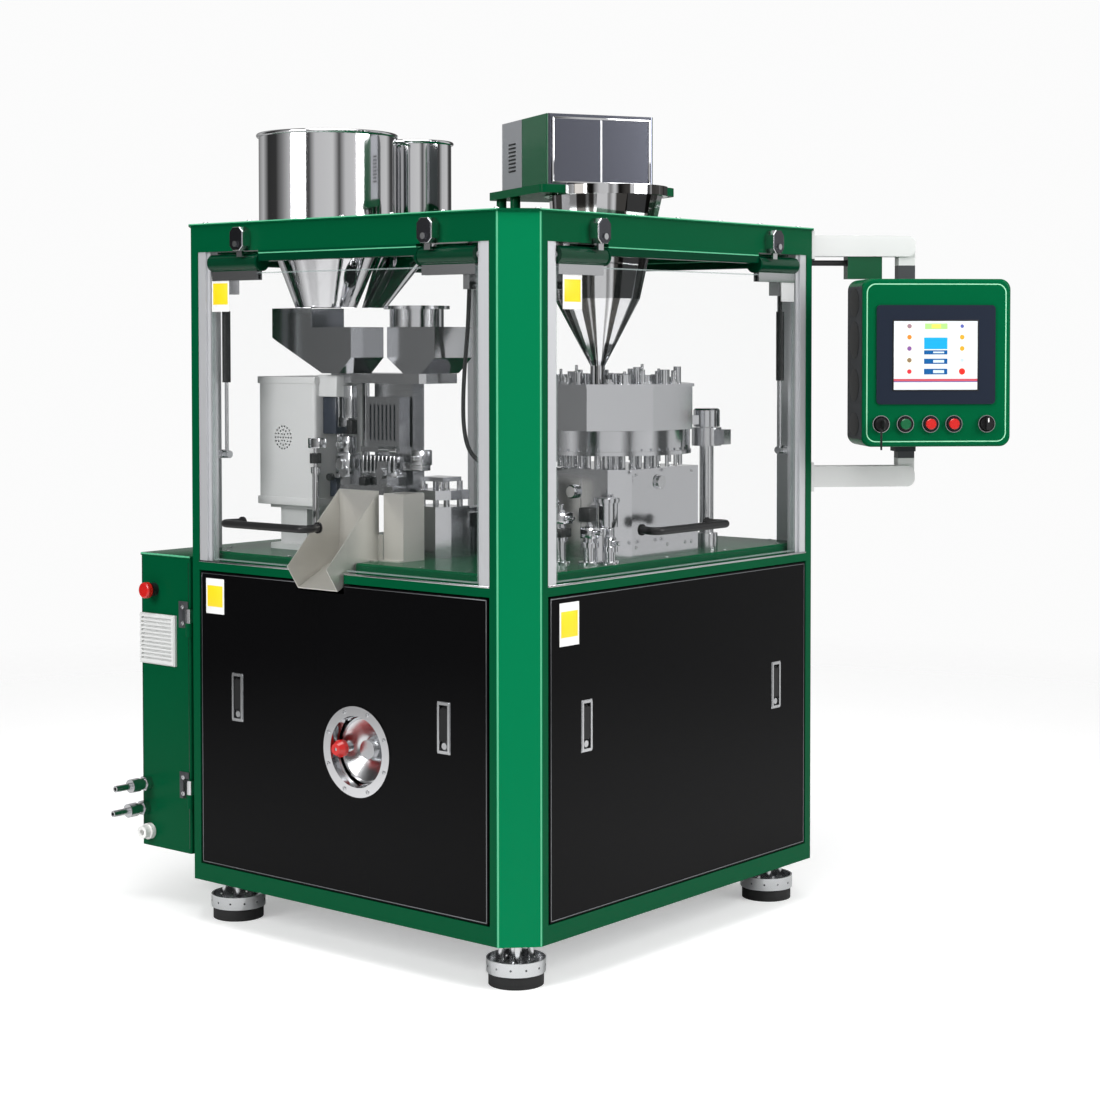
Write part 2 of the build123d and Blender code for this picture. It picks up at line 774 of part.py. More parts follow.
def turret():
    z = table_top + 64
    disc = rod(turret_radius - 30, (0, 0, z), "z", 18)
    hub = rod(52, (0, 0, z + 17), "z", 34)
    cap = rod(30, (0, 0, z + 50), "z", 12)
    shaft = rod(shaft_radius, (0, 0, 800), "z", z - 799)
    body = disc + hub + cap + shaft
    step = 360 / turret_stations
    for k in range(turret_stations):
        arm = block(turret_radius - 60, turret_radius - 4, -22, 22, z + 16, z + 34)
        low = block(turret_radius - 40, turret_radius, -26, 26, z - 2, z + 17)
        station = arm + low
        for dx in (-34, -20):
            station = station - rod(5, (turret_radius + dx - 4, 0, z - 3), "z", 40)
        body = body + Rot(0, 0, k * step) * station
    return Pos(turret_x, turret_y, 0) * body


# Dosing station

def octagon(radius):
    reach = radius / math.cos(math.radians(22.5))
    return [(reach * math.cos(math.radians(22.5 + 45 * k)), reach * math.sin(math.radians(22.5 + 45 * k)))
            for k in range(8)]


def dosing_housing():
    """Housing on the table: cut-back body, window bars and the flange under the disc."""
    top = 1104.0
    w = 150.0
    outline = [(-60, -w), (w - 40, -w), (w, -w + 40), (w, w), (-w, w), (-w, 20), (-60, -20)]
    body = prism(outline, Plane.XY, table_top, top - table_top)
    door_seam = block(30, 32, -w - 1, -w + 1.5, table_top + 8, top - 6)
    cavity = block(-50, w - 50, -w + 10, w - 10, table_top - 1, top - 10)
    body = body - door_seam - cavity
    body = body + rod(shaft_radius + 14, (0, 0, table_top), "z", top - table_top)
    knob = rod(16, (10, -w + 1, 1050), "y", -15)
    knob = chamfer(knob.edges().sort_by(Axis.Y)[0], 3)
    flange = rod(dosing_radius + 3, (0, 0, 1136), "z", 9)
    body = body + knob + flange
    for k in range(16):
        body = body + Rot(0, 0, 22.5 * k) * rod(8, (w - 40, 0, top - 1), "z", 1137 - top)
    body = body - rod(shaft_radius + running_gap, (0, 0, table_top - 1), "z", 300)
    body = Pos(dosing_x, dosing_y, 0) * body
    return body


def dosing_disc():
    """Turning powder disc: stepped rim with slots and a ring of dosing holes."""
    z = 1145 + seat_gap
    rim = rod(dosing_radius, (0, 0, z), "z", dosing_disc_top - z)
    bowl = rod(dosing_radius - 14, (0, 0, z + 14), "z", 40)
    disc = rim - bowl
    slots = []
    for k in range(48):
        slots.append(Rot(0, 0, 7.5 * k) * block(dosing_radius - 6, dosing_radius + 2, -4, 4, z + 1, z + 7))
    disc = disc - group(slots)
    shaft = rod(shaft_radius, (0, 0, 820), "z", z - 819)
    return Pos(dosing_x, dosing_y, 0) * (disc + shaft)


def tamping_head():
    """Lifting head: faceted casing, cover plate and the tops of the tamping pins."""
    z0, z1 = dosing_disc_top + seat_gap, 1294.0
    body = prism(octagon(dosing_radius - 4), Plane.XY, z0, z1 - z0)
    body = body - prism(octagon(dosing_radius - 12), Plane.XY, z0 - 1, z1 - z0 - 6)
    plate = prism(octagon(dosing_radius), Plane.XY, z1, 7)
    body = body + plate
    top = z1 + 7
    for k in range(18):
        radius = 160 if k % 2 == 0 else 118
        height = (34, 22, 40, 18, 28)[k % 5]
        size = (13, 16, 9, 12, 10)[k % 5]
        body = body + Rot(0, 0, 20 * k) * rod(size, (radius, 0, top - 1), "z", height)
    for k in range(6):
        body = body + Rot(0, 0, 60 * k + 14) * rod(15, (72, 0, top - 1), "z", 24)
    body = Pos(dosing_x, dosing_y, 0) * body
    spout = rod(27, (funnel_spout()[0], funnel_spout()[1], z0 - 5), "z", 160)
    return body - spout + column_sleeve()


def column_sleeve():
    """Blind sleeve of the head on the guide column, with the arm that joins them."""
    x, y = column_x, column_y
    dx, dy = x - dosing_x, y - dosing_y
    angle = math.degrees(math.atan2(dy, dx))
    reach = math.hypot(dx, dy)
    foot = dosing_disc_top + seat_gap
    arm = Pos(dosing_x, dosing_y, 0) * Rot(0, 0, angle) * block(dosing_radius - 6, reach, -15, 15, foot + 6, foot + 28)
    sleeve = rod(32, (x, y, foot), "z", sleeve_height)
    sleeve = chamfer(sleeve.edges().group_by(Axis.Z)[-1], 4)
    return arm + sleeve - rod(column_radius + running_gap, (x, y, foot - 1), "z", sleeve_bore + 1)


def adjuster_column():
    """Guide column of the lifting head with its base and adjusting clamp."""
    x, y = column_x, column_y
    foot = dosing_disc_top + seat_gap
    column = rod(column_radius, (x, y, table_top), "z", foot + sleeve_bore - 3 - table_top)
    base = rod(column_radius + 10, (x, y, table_top), "z", 38)
    clamp = rod(36, (x, y, foot - 46), "z", 44)
    ear = block(x + 20, x + 62, y - 14, y + 14, foot - 42, foot - 6)
    return column + base + clamp + ear


# Discharge chute

def chute_outline():
    """Side wall: mouth top, mouth bottom, floor knee, back foot, back top (Y, Z)."""
    return [(-640.0, 888.0), (-605.0, 836.0), (-508.0, 884.0), (-471.0, 884.0), (-471.0, 1057.0)]


def discharge_chute():
    s = chute_sheet
    outline = chute_outline()
    solid = prism(outline, Plane.YZ, chute_left, chute_right - chute_left)
    (y0, z0), (y1, z1), (y2, z2), (y3, z3), (y4, z4) = outline
    inner = [(y0 - 20, z0 + 4), (y1 - 20 + s, z1 + s - 6), (y1 + s, z1 + s + 2), (y2, z2 + s), (y3 - s, z3 + s),
             (y4 - s, z4 + 30), (y4 - 40, z4 + 30)]
    hollow = prism(inner, Plane.YZ, chute_left + s, chute_right - chute_left - 2 * s)
    body = solid - hollow
    for x0, x1 in ((chute_left - 14, chute_left + s), (chute_right - s, chute_right + 14)):
        body = body + block(x0, x1, y3 - 30, y3, table_top, table_top + 3)
        body = body + block(x0, x1, y3 - 3, y3, table_top, table_top + 60)
    return group([body, outlet_box()])


def outlet_box():
    """Bent sheet cover on the table beside the chute, open towards the turret."""
    x0 = chute_right + 15
    x1 = x0 + outlet_width
    y0 = chute_outline()[3][0]
    cover = block(x0, x1, y0, y0 + outlet_depth, table_top, outlet_top)
    hollow = block(x0 + chute_sheet, x1 - chute_sheet, y0 + chute_sheet, y0 + outlet_depth + 1, table_top - 1,
                   outlet_top - chute_sheet)
    foot = block(x0, x1, y0 - 16, y0 + 1, table_top, table_top + 3)
    return cover - hollow + foot


# Capsule feeding

def capsule_hoppers():
    """Two polished drums with rolled rims standing on the deck, open above, coned below."""
    drums = []
    for x, y, r in ((hopper_x, hopper_y, hopper_radius), (side_hopper_x, side_hopper_y, side_hopper_radius)):
        drum = tube(r, r - 2, (x, y, deck_top), "z", hopper_top - deck_top - 4)
        foot = tube(r + 12, r - 2, (x, y, deck_top), "z", 4)
        rim = Pos(x, y, hopper_top - 5) * Torus(r + 1, 5)
        drums.append(drum + foot + rim)
    return group(drums)


def feed_duct(x0, y0, r0, x1, y1, r1, low):
    """Oblique sheet cone hung under the deck by its flange."""
    wall = 2.0
    outer = frustum((x1, y1, low), r1, (x0, y0, frame_top), r0)
    inner = frustum((x1, y1, low - 0.5), r1 - wall, (x0, y0, frame_top + 0.5), r0 - wall)
    flange = tube(r0 + 10, r0 - wall, (x0, y0, frame_top - 3), "z", 3)
    return outer - inner + flange


def capsule_ducts():
    """Cone under each drum, through the deck and down to the trays."""
    low = 1482.0
    main = feed_duct(hopper_x, hopper_y, hopper_radius - 14, -262, -360, 74, low)
    side = feed_duct(side_hopper_x, side_hopper_y, side_hopper_radius - 10, -196, -262, 30, low)
    return group([main, side])


def feeder_trays():
    """Sheet trays under the ducts: the long sloped one and the short return tray."""
    y0, y1 = -440.0, -330.0
    left = [(-366, 1480), (-366, 1410), (-352, 1402), (-196, 1325), (-140, 1325), (-100, 1362), (-100, 1434),
            (-232, 1434), (-232, 1480)]
    tray = prism(left, Plane.XZ, -y1, y1 - y0)
    inner = [(-364, 1490), (-364, 1411), (-351, 1404), (-195, 1327), (-141, 1327), (-102, 1363), (-102, 1444),
             (-230, 1444), (-230, 1490)]
    tray = tray - prism(inner, Plane.XZ, -y1 + 2, y1 - y0 - 4)
    bowl = tube(64, 61, (-20, -300, 1434), "z", 44)
    lid = tube(78, 58, (-20, -300, 1476), "z", 8)
    right = [(-60, 1434), (-60, 1362), (-8, 1325), (50, 1325), (92, 1362), (92, 1434)]
    short = prism(right, Plane.XZ, 230, 130)
    cut = [(-58, 1444), (-58, 1363), (-7, 1327), (49, 1327), (90, 1363), (90, 1444)]
    short = short - prism(cut, Plane.XZ, 232, 126)
    return group([tray, short + bowl + lid])


def feed_box():
    """Painted drive box of the feeding station on its pedestal, with the round vent."""
    x0, x1, y0, y1, z0, z1 = -426.0, -232.0, -430.0, -250.0, 1009.0, 1313.0
    body = block(x0, x1, y0, y1, z0, z1)
    body = fillet(body.edges().filter_by(Axis.Z), 8)
    body = body - block(x0 + sheet, x1 - sheet, y0 + sheet, y1 - sheet, z0 + sheet, z1 - sheet)
    vent = (-340.0, y0, 1169.0)
    holes = []
    for ring, count in ((0, 1), (9, 6), (18, 12), (27, 18)):
        for k in range(count):
            angle = 2 * math.pi * k / count
            place = (vent[0] + ring * math.cos(angle), y0 - 1, vent[2] + ring * math.sin(angle))
            holes.append(rod(2.6, place, "y", 5))
    body = body - group(holes)
    pedestal = block(-380, -290, -400, -290, table_top, z0)
    foot = block(-400, -262, -416, -276, table_top, table_top + 14)
    shelf = block(x0 + 20, x1 - 4, y0 + 20, y1 - 10, z0 - 12, z0)
    return group([body, pedestal + foot + shelf])


def feed_frame():
    """Cross bar under the trays, its posts, the guide blocks and the sorting bed."""
    bar = block(-226, 84, -392, -262, 1302, 1325)
    bar = chamfer(bar.edges().filter_by(Axis.Z), 12)
    body = bar
    for x, y in ((-206, -372), (-206, -282), (-26, -282)):
        body = body + rod(9, (x, y, table_top), "z", 1303 - table_top)
    lower = block(-218, -14, -392, -270, 1040, 1062)
    body = body + lower
    for x in (-160, -40):
        body = body + block(x - 16, x + 16, -400, -360, 1061, 1120)
        body = body + rod(13, (x, -399, 1092), "y", -10)
    body = body + block(-130, -6, -330, -296, 1061, 1303)
    bed = block(-120, -70, -376, -331, 1060, 1084)
    return body + bed


def feed_magazine():
    """Slotted capsule magazine that bobs up and down in front of its back plate."""
    x0, x1, y0, y1 = -118.0, -10.0, -372.0, -336.0
    body = block(x0, x1, y0, y1, 1150, 1270)
    slots = []
    for k in range(7):
        u = x0 + 15 + 13 * k
        slots.append(block(u - 3, u + 3, y0 - 1, y0 + 14, 1168, 1252))
    body = body - group(slots)
    lip = block(x0 - 8, x1 + 8, y0 - 10, y1, 1140, 1152)
    guide = block(-74, -54, y1 - 1, -330 - seat_gap, 1160, 1260)
    return body + lip + guide


# Powder feeding

def funnel_spout():
    return (365.0, -98.0)


def powder_funnel():
    """Polished twelve-sided funnel: rim, tapered throat, cone and spout."""
    rim_z = feeder_plate_top
    top = (funnel_x, funnel_y)
    knee = (362.0, -96.0)
    tip = funnel_spout()
    levels = [(top, funnel_radius, rim_z - 4), (knee, 100.0, 1498.0), (tip, 17.0, 1343.0)]
    outer = facet_loft(levels, 0.0)
    inner = facet_loft(levels, 2.0)
    body = outer - inner
    rim = tube(funnel_radius + 8, funnel_radius - 3, (top[0], top[1], rim_z - 22), "z", 22)
    spout = tube(17, 15, (tip[0], tip[1], 1215), "z", 130)
    return body + rim + spout


def facet_loft(levels, wall):
    parts = []
    for (low, r0, z0), (high, r1, z1) in zip(levels[1:], levels[:-1]):
        extra = 0.2 if wall else 0.0
        lower = Pos(low[0], low[1], z0 - extra) * RegularPolygon(r0 - wall, 12)
        upper = Pos(high[0], high[1], z1 + extra) * RegularPolygon(r1 - wall, 12)
        parts.append(loft([lower, upper]))
    return parts[0] + parts[1]


def feeder_frame():
    """Place of the powder feeder: its front-left corner, turned towards the corner post."""
    return Pos(328, -236, 0) * Rot(0, 0, feeder_turn)


def powder_feeder():
    """Motor and screw box on the feeder plate; local X to the front, Y across the face."""
    w, d, h = feeder_width, feeder_length, feeder_height
    z = feeder_plate_top
    case = block(-d, 0, 0, w, z, z + h)
    case = fillet(case.edges().filter_by(Axis.Z), 6)
    face = block(-1.5, 3, 12, w - 12, z + 8, z + h - 10)
    case = case + fillet(face.edges().group_by(Axis.X)[-1], 1.5)
    seam = block(-d + 132, -d + 134, -1, 1.2, z + 1, z + h + 1)
    case = case - seam - block(-d + sheet, -sheet, sheet, w - sheet, z - 1, z + h - sheet)
    return feeder_frame() * case


def feeder_plate():
    """Plate under the feeder, rounded at its free end, on four stand-off posts from the deck."""
    w, d, t = feeder_width, feeder_length, feeder_plate_thickness
    z0 = feeder_plate_top - t
    plate = block(-d - 22, 26, -26, w + 62, z0, feeder_plate_top - seat_gap)
    plate = fillet(plate.edges().filter_by(Axis.Z).group_by(Axis.Y)[-1], 60)
    plate = fillet(plate.edges().filter_by(Axis.Z).group_by(Axis.Y)[0], 12)
    for x in (-d, -d + 90):
        for y in (0, w):
            plate = plate + rod(12, (x, y, deck_top), "z", z0 - deck_top + 1)
    placed = feeder_frame() * plate
    return placed - rod(funnel_radius + 8 + seat_gap, (funnel_x, funnel_y, z0 - 2), "z", t + 4)


# Electrical box

def electrical_box():
    """Closed sheet box beside the frame that swings on its two front hinges."""
    x0, x1 = box_right - box_width, box_right
    y0, y1 = box_front, box_front + box_depth
    shell = block(x0, x1, y0, y1, box_bottom, box_top)
    shell = fillet(shell.edges().filter_by(Axis.Z), 5)
    shell = shell - block(x0 + 3, x1 - 3, y0 + 3, y1 - 3, box_bottom + 3, box_top - 3)
    estop = (estop_x, box_front - 1, estop_level)
    shell = shell - rod(11 + seat_gap, estop, "y", 6)
    for z in hinge_levels():
        leaf = block(box_right - 26, box_right, box_front - 3, box_front, z - 34, z + 34)
        barrel = rod(9, (box_hinge_x, box_hinge_y, z - 34), "z", 34 - seat_gap)
        web = block(box_right - 6, box_hinge_x, box_hinge_y, box_front - 3, z - 34, z - seat_gap)
        piece = leaf + barrel + web
        shell = shell + piece
        shell = shell - rod(4 + running_gap, (box_hinge_x, box_hinge_y, z - 36), "z", 40)
    return shell


def hinge_levels():
    return (290.0, 712.0)


def box_hinges():
    """Frame halves of the two hinges, with their pins, screwed to the post."""
    pieces = []
    for z in hinge_levels():
        barrel = rod(9, (box_hinge_x, box_hinge_y, z), "z", 34)
        x, y = box_hinge_x, box_hinge_y
        flat = -half_d + post_chamfer
        outline = [(x, y - 4), (x + 8, y), (-half_w, flat), (-half_w, flat + 22), (x + 4, flat + 22), (x + 2, y + 6)]
        web = prism(outline, Plane.XY, z, 34)
        pin = rod(4, (box_hinge_x, box_hinge_y, z - 33), "z", 66)
        pieces.append(barrel + web + pin)
    return group(pieces)


def box_fittings():
    """Filter louvre, two hose couplings and the cable gland on the box's front."""
    y = box_front
    x0, x1, z0, z1 = filter_left, filter_right, 598.0, 724.0
    frame = block(x0, x1, y - 10, y, z0, z1)
    frame = chamfer(frame.faces().sort_by(Axis.Y)[0].edges(), 4)
    for k in range(11):
        z = z0 + 12 + k * 10
        frame = frame - block(x0 + 10, x1 - 10, y - 11, y - 4, z, z + 5)
    pieces = [frame]
    for x, z in ((air_coupling_x, 296.0), (vacuum_coupling_x, 233.0)):
        nut = Pos(x, 0, z) * Rot(90, 0, 0) * prism(hexagon(19), Plane.XY, -y, 18)
        body = rod(14, (x, y - 17, z), "y", -34)
        sleeve = rod(17, (x, y - 34, z), "y", -26)
        tail = rod(8, (x, y - 50, z), "y", -57)
        coupling = nut + body + sleeve + tail
        pieces.append(coupling - rod(4.5, (x, y - 108, z), "y", 60))
    pieces.append(tube(17, 11 + running_gap, (estop_x, y, estop_level), "y", -15))
    gland = rod(20, (gland_x, y, 176), "y", -12) + rod(16, (gland_x, y - 11, 176), "y", -18)
    pieces.append(gland - rod(8, (gland_x, y - 30, 176), "y", 40))
    return group(pieces)


def e_stop():
    """Red mushroom head with its neck, pushed in against a spring."""
    x, z = estop_x, estop_level
    collar_front = box_front - 16
    neck = rod(11, (x, box_front + 14, z), "y", -(14 + 22))
    head = rod(20, (x, collar_front - 6, z), "y", -14)
    head = fillet(head.edges().sort_by(Axis.Y)[0], 5)
    return neck + head


# Control panel

def arm_frame():
    """Local X runs out along the corner's normal, Y to the left of it seen from outside."""
    return Pos(half_w - post_chamfer / 2, half_d - post_chamfer / 2, 0) * Rot(0, 0, 45)


def control_arm():
    """Two square tubes from the corner post, their elbows and the pivot posts of the panel."""
    t = arm_tube
    r = arm_reach
    upper = block(0, r + 20, -t / 2, t / 2, arm_upper_level - t / 2, arm_upper_level + t / 2)
    upper = fillet(upper.edges().filter_by(Axis.Y).group_by(Axis.X)[-1], 20)
    drop = block(r - t / 2 + 4, r + 20, -t / 2 + 6, t / 2 - 6, arm_upper_level - 86, arm_upper_level)
    pin_up = rod(12, (r - 4, 0, arm_upper_level - 105), "z", 40)
    lower = block(0, r + 20, -t / 2, t / 2, arm_lower_level - t / 2, arm_lower_level + t / 2)
    lower = fillet(lower.edges().filter_by(Axis.Y).group_by(Axis.X)[-1], 20)
    rise = block(r - t / 2 + 4, r + 20, -t / 2 + 6, t / 2 - 6, arm_lower_level, arm_lower_level + 62)
    pin_low = rod(12, (r - 4, 0, arm_lower_level + 50), "z", 30)
    plates = []
    for z in (arm_upper_level, arm_lower_level):
        plates.append(block(0, 8, -42, 42, z - 36, z + 36))
    bracket = block(96, 184, -t / 2 + 4, t / 2 - 4, control_top + 4, arm_upper_level - t / 2)
    conduit = rod(7, (0, 0, arm_upper_level - t / 2 - 16), "x", 97)
    upper_part = upper + drop + pin_up + bracket + conduit
    lower_part = lower + rise + pin_low
    shapes = [upper_part + plates[0], lower_part + plates[1]]
    return group(arm_frame() * shape for shape in shapes)


def control_axis():
    place = arm_frame() * Pos(arm_reach - 4, 0, 0)
    return place.position


def control_frame():
    """Local X along the panel's width (to the right seen from the front), -Y its face."""
    c = control_axis()
    return Pos(c.X, c.Y, 0) * Rot(0, 0, 45)


def control_panel():
    w, t = control_width, control_thickness
    left = -150.0
    z0, z1 = control_bottom, control_top
    body = block(left, left + w, -t - 30, -30, z0, z1)
    body = fillet(body.edges().filter_by(Axis.Y), 26)
    body = fillet(body.faces().sort_by(Axis.Y)[0].edges(), 8)
    body = body - block(left + 12, left + w - 12, -t - 22, -30 - sheet, z0 + 12, z1 - 12)
    ears = block(-30, 30, -32, 30, z0 + 20, z1 - 20)
    spine = ears + block(-26, 26, -26, 26, arm_lower_level + 62 + seat_gap, z0 + 22)
    spine = spine + block(-26, 26, -26, 26, z1 - 22, arm_upper_level - 86 - seat_gap)
    body = body + spine
    bezel = block(left + 36, left + 36 + 296, -t - 34, -t - 29, 1246, 1488)
    bezel = fillet(bezel.edges().filter_by(Axis.Y), 10)
    body = body + bezel
    for x in control_places():
        body = body + rod(ring_radius, (x, -t - 29, control_row()), "y", -8)
    body = body - rod(12 + running_gap, (0, 0, arm_lower_level), "z", 130)
    body = body - rod(12 + running_gap, (0, 0, arm_upper_level - 130), "z", 130)
    for x in control_places():
        body = body - rod(9 + seat_gap, (x, -t - 40, control_row()), "y", 35)
        body = body - rod(ring_bore, (x, -t - 30, control_row()), "y", -10)
    return control_frame() * body


def control_row():
    return 1198.0


def control_places():
    """Key switch, start button, two stop buttons and the selector along the panel's foot."""
    return (-103.0, -43.0, 20.0, 78.0, 160.0)


def push_button(index):
    x = control_places()[index]
    t = control_thickness
    z = control_row()
    stem = rod(9, (x, -t - 30 + 16, z), "y", -24)
    head = rod(13, (x, -t - 37, z), "y", -7)
    head = chamfer(head.edges().sort_by(Axis.Y)[0], 1.5)
    return control_frame() * (stem + head)


def turn_switch(index, with_key):
    x = control_places()[index]
    t = control_thickness
    z = control_row()
    stem = rod(9, (x, -t - 30 + 16, z), "y", -24)
    head = rod(16, (x, -t - 30 - seat_gap, z), "y", -12)
    body = stem + head
    if with_key:
        body = body + block(x - 2, x + 2, -t - 62, -t - 41, z - 9, z + 9)
        body = body + rod(12, (x - 2, -t - 66, z), "x", 4)
    else:
        body = body + block(x - 5, x + 5, -t - 54, -t - 41, z - 15, z + 15)
    return control_frame() * body


def cord_path(points):
    """Straight runs joined by arcs that touch both runs of each corner."""
    points = [Vector(*point) for point in points]
    edges = []
    start = points[0]
    for before, corner, after in zip(points, points[1:], points[2:]):
        reach = corner_share * min((corner - before).length, (after - corner).length)
        inward = (corner - before).normalized()
        arc_start = corner - inward * reach
        arc_end = corner + (after - corner).normalized() * reach
        edges.append(Edge.make_line(start, arc_start))
        edges.append(Edge.make_tangent_arc(arc_start, inward, arc_end))
        start = arc_end
    edges.append(Edge.make_line(start, points[-1]))
    return Wire(edges)


def hanging_cable():
    """Cable that hangs from the deck and runs to the dosing station's casing."""
    path = cord_path([(141, -292, frame_top), (142, -292, 1590), (139, -293, 1500), (134, -292, 1426),
                      (125, -292, 1350), (120, -293, 1270), (120, -292, 1200), (134, -291, 1146),
                      (168, -284, 1116), (202, -262, 1104), (216, -220, 1098), (218, -160, 1096)])
    start = Plane(origin=path @ 0, z_dir=path % 0)
    return sweep(start * Circle(cable_radius), path)


def fixed_panels():
    """Covers of the rear and left sides, of the same pressing, screwed to the rails."""
    return group(on_side(side, lower_panel(side)) for side in ("rear", "left"))


def main():
    os.makedirs("parts", exist_ok=True)
    save(frame_posts(), "frame_posts")
    save(frame_rails(), "frame_rails")
    save(table_plate(), "table_top")
    save(deck_plate(), "deck_plate")
    feet = foot_centres()
    save(group(Pos(x, y, 0) * foot_pad() for x, y in feet), "foot_pads")
    save(group(Pos(x, y, 0) * foot_cup() for x, y in feet), "foot_cups")
    save(group(on_side(s, header(s)) for s in SIDES), "header_rails")
    mounts = []
    strips = []
    for side in SIDES:
        for sign in (-1, 1):
            strips.append(on_side(side, jamb_strip(side, sign)))
            if side in DOOR_SIDES.values():
                mounts.append(on_side(side, hinge_block(side, sign)))
                mounts.append(on_side(side, spring_bracket(side, sign)))
    save(group(mounts + [box_hinges()]), "hinge_hardware")
    save(group(strips), "jamb_strips")
    for name, side in DOOR_SIDES.items():
        save(on_side(side, door_glass_panel(side)), f"{name}_door_glass")
        save(on_side(side, door_fittings(side)), f"{name}_door_fittings")
        save(on_side(side, spring_rods(side)), f"{name}_spring_rods")
        save(on_side(side, spring_tubes(side)), f"{name}_spring_tubes")
        save(on_side(side, panel_with_latches(side)), f"{name}_panel")
        for word, u in zip(("left", "right"), latch_places(side)):
            save(on_side(side, latch_lever(side, u)), f"{name}_latch_{word}")
    save(fixed_panels(), "fixed_panels")
    save(group(on_side(s, guard_window(s)) for s in ("rear", "left")), "fixed_guards")
    save(handwheel_port(), "handwheel_port")
    save(handwheel(), "handwheel")
    save(handwheel_knob(), "handwheel_knob")
    save(main_shaft(), "main_shaft")
    save(drive_base(), "drive_base")
    save(drive_motor(), "drive_motor")
    save(index_box(), "index_box")
    save(vacuum_pump(), "vacuum_pump")
    save(turret_housing(), "turret_housing")
    save(turret(), "turret")
    save(dosing_housing(), "dosing_housing")
    save(dosing_disc(), "dosing_disc")
    save(tamping_head(), "tamping_head")
    save(adjuster_column(), "adjuster_column")
    save(discharge_chute(), "discharge_chute")
    save(capsule_hoppers(), "capsule_hoppers")
    save(capsule_ducts(), "capsule_ducts")
    save(feeder_trays(), "feeder_trays")
    save(feed_box(), "feed_box")
    save(feed_frame(), "feed_frame")
    save(feed_magazine(), "feed_magazine")
    save(powder_funnel(), "powder_funnel")
    save(powder_feeder(), "powder_feeder")
    save(feeder_plate(), "feeder_plate")
    save(electrical_box(), "electrical_box")
    save(box_fittings(), "box_fittings")
    save(e_stop(), "e_stop")
    save(hanging_cable(), "hanging_cable")
    save(control_arm(), "control_arm")
    save(control_panel(), "control_panel")
    save(turn_switch(0, True), "key_switch")
    save(push_button(1), "green_button")
    save(push_button(2), "red_button_left")
    save(push_button(3), "red_button_right")
    save(turn_switch(4, False), "selector_switch")


main()
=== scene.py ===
# %% [markdown]
# This lesson dresses a cabinet-type filling machine. The imported CAD model is loaded as a fixed frame, and every
# later step either gives one of its nodes a finish or adds a small piece that rides on one of its moving bodies.

# %% Load the frame
import math

import bmesh
import bpy
from mathutils import Matrix, Vector


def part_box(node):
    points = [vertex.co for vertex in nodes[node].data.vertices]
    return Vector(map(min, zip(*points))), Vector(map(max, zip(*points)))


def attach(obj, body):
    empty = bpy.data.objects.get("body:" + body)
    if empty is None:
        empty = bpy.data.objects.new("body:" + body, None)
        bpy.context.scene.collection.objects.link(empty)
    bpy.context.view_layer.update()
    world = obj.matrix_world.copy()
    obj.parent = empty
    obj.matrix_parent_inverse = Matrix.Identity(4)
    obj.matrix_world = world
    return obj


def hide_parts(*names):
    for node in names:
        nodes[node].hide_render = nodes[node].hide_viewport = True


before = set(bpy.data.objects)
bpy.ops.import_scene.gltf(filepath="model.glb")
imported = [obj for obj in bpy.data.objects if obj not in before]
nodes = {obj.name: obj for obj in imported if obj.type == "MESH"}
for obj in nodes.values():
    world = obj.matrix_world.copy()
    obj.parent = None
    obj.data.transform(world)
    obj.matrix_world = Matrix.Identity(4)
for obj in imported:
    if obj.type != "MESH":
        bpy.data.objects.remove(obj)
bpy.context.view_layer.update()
MM = 0.001
HALF_W = 550.0
HALF_D = 592.0


def box_mm(node):
    """The two corners of a CAD node's box, in millimetres."""
    return [corner * 1000 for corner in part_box(node)]


def add_object(name, data):
    made = bpy.data.objects.new(name, data)
    bpy.context.scene.collection.objects.link(made)
    return made


# %% [markdown]
# The camera stands where the photographer stood: about four and a half metres off the front corner, at the eye level
# of a seated person. It looks almost level, with the lens shifted down to frame the machine, because a shift keeps
# the posts upright where tilting the camera would make them lean.

# %% Camera
EYE = Vector((3.526872, -4.102505, 1.395308))
VIEW = Vector((-0.63625, 0.77077, -0.03318))
ROLL = math.radians(-0.05)
FOCAL_LENGTH = 71.82
LENS_SHIFT = -0.1216
camera_data = bpy.data.cameras.new("studio_camera")
camera_data.lens = FOCAL_LENGTH
camera_data.sensor_width = 36.0
camera_data.shift_y = LENS_SHIFT
camera = add_object("studio_camera", camera_data)
camera.location = EYE
aimed = VIEW.to_track_quat("-Z", "Y")
camera.rotation_euler = (aimed @ Matrix.Rotation(ROLL, 3, "Z").to_quaternion()).to_euler()
bpy.context.scene.camera = camera
bpy.context.scene.view_settings.view_transform = "Standard"
print("camera", [round(value, 3) for value in EYE])

# %% [markdown]
# Shader maths reads best as ordinary expressions. Wire wraps one output socket, so that adding or multiplying two
# wires adds the Math node that does it. Recipe holds one material and adds every other kind of node. Positions
# come from Object coordinates in millimetres, which for these pieces are the same as places in the machine.

# %% Wires and recipes
class Wire:
    """An output socket that can be used in an expression."""

    def __init__(self, recipe, socket, coloured=False):
        self.recipe = recipe
        self.socket = socket
        self.coloured = coloured

    def __add__(self, other):
        return self.recipe.maths("ADD", self, other)

    def __mul__(self, other):
        return self.recipe.maths("MULTIPLY", self, other)

    def __sub__(self, other):
        return self.recipe.maths("SUBTRACT", self, other)

    def __rsub__(self, other):
        return self.recipe.maths("SUBTRACT", other, self)

    __radd__ = __add__
    __rmul__ = __mul__


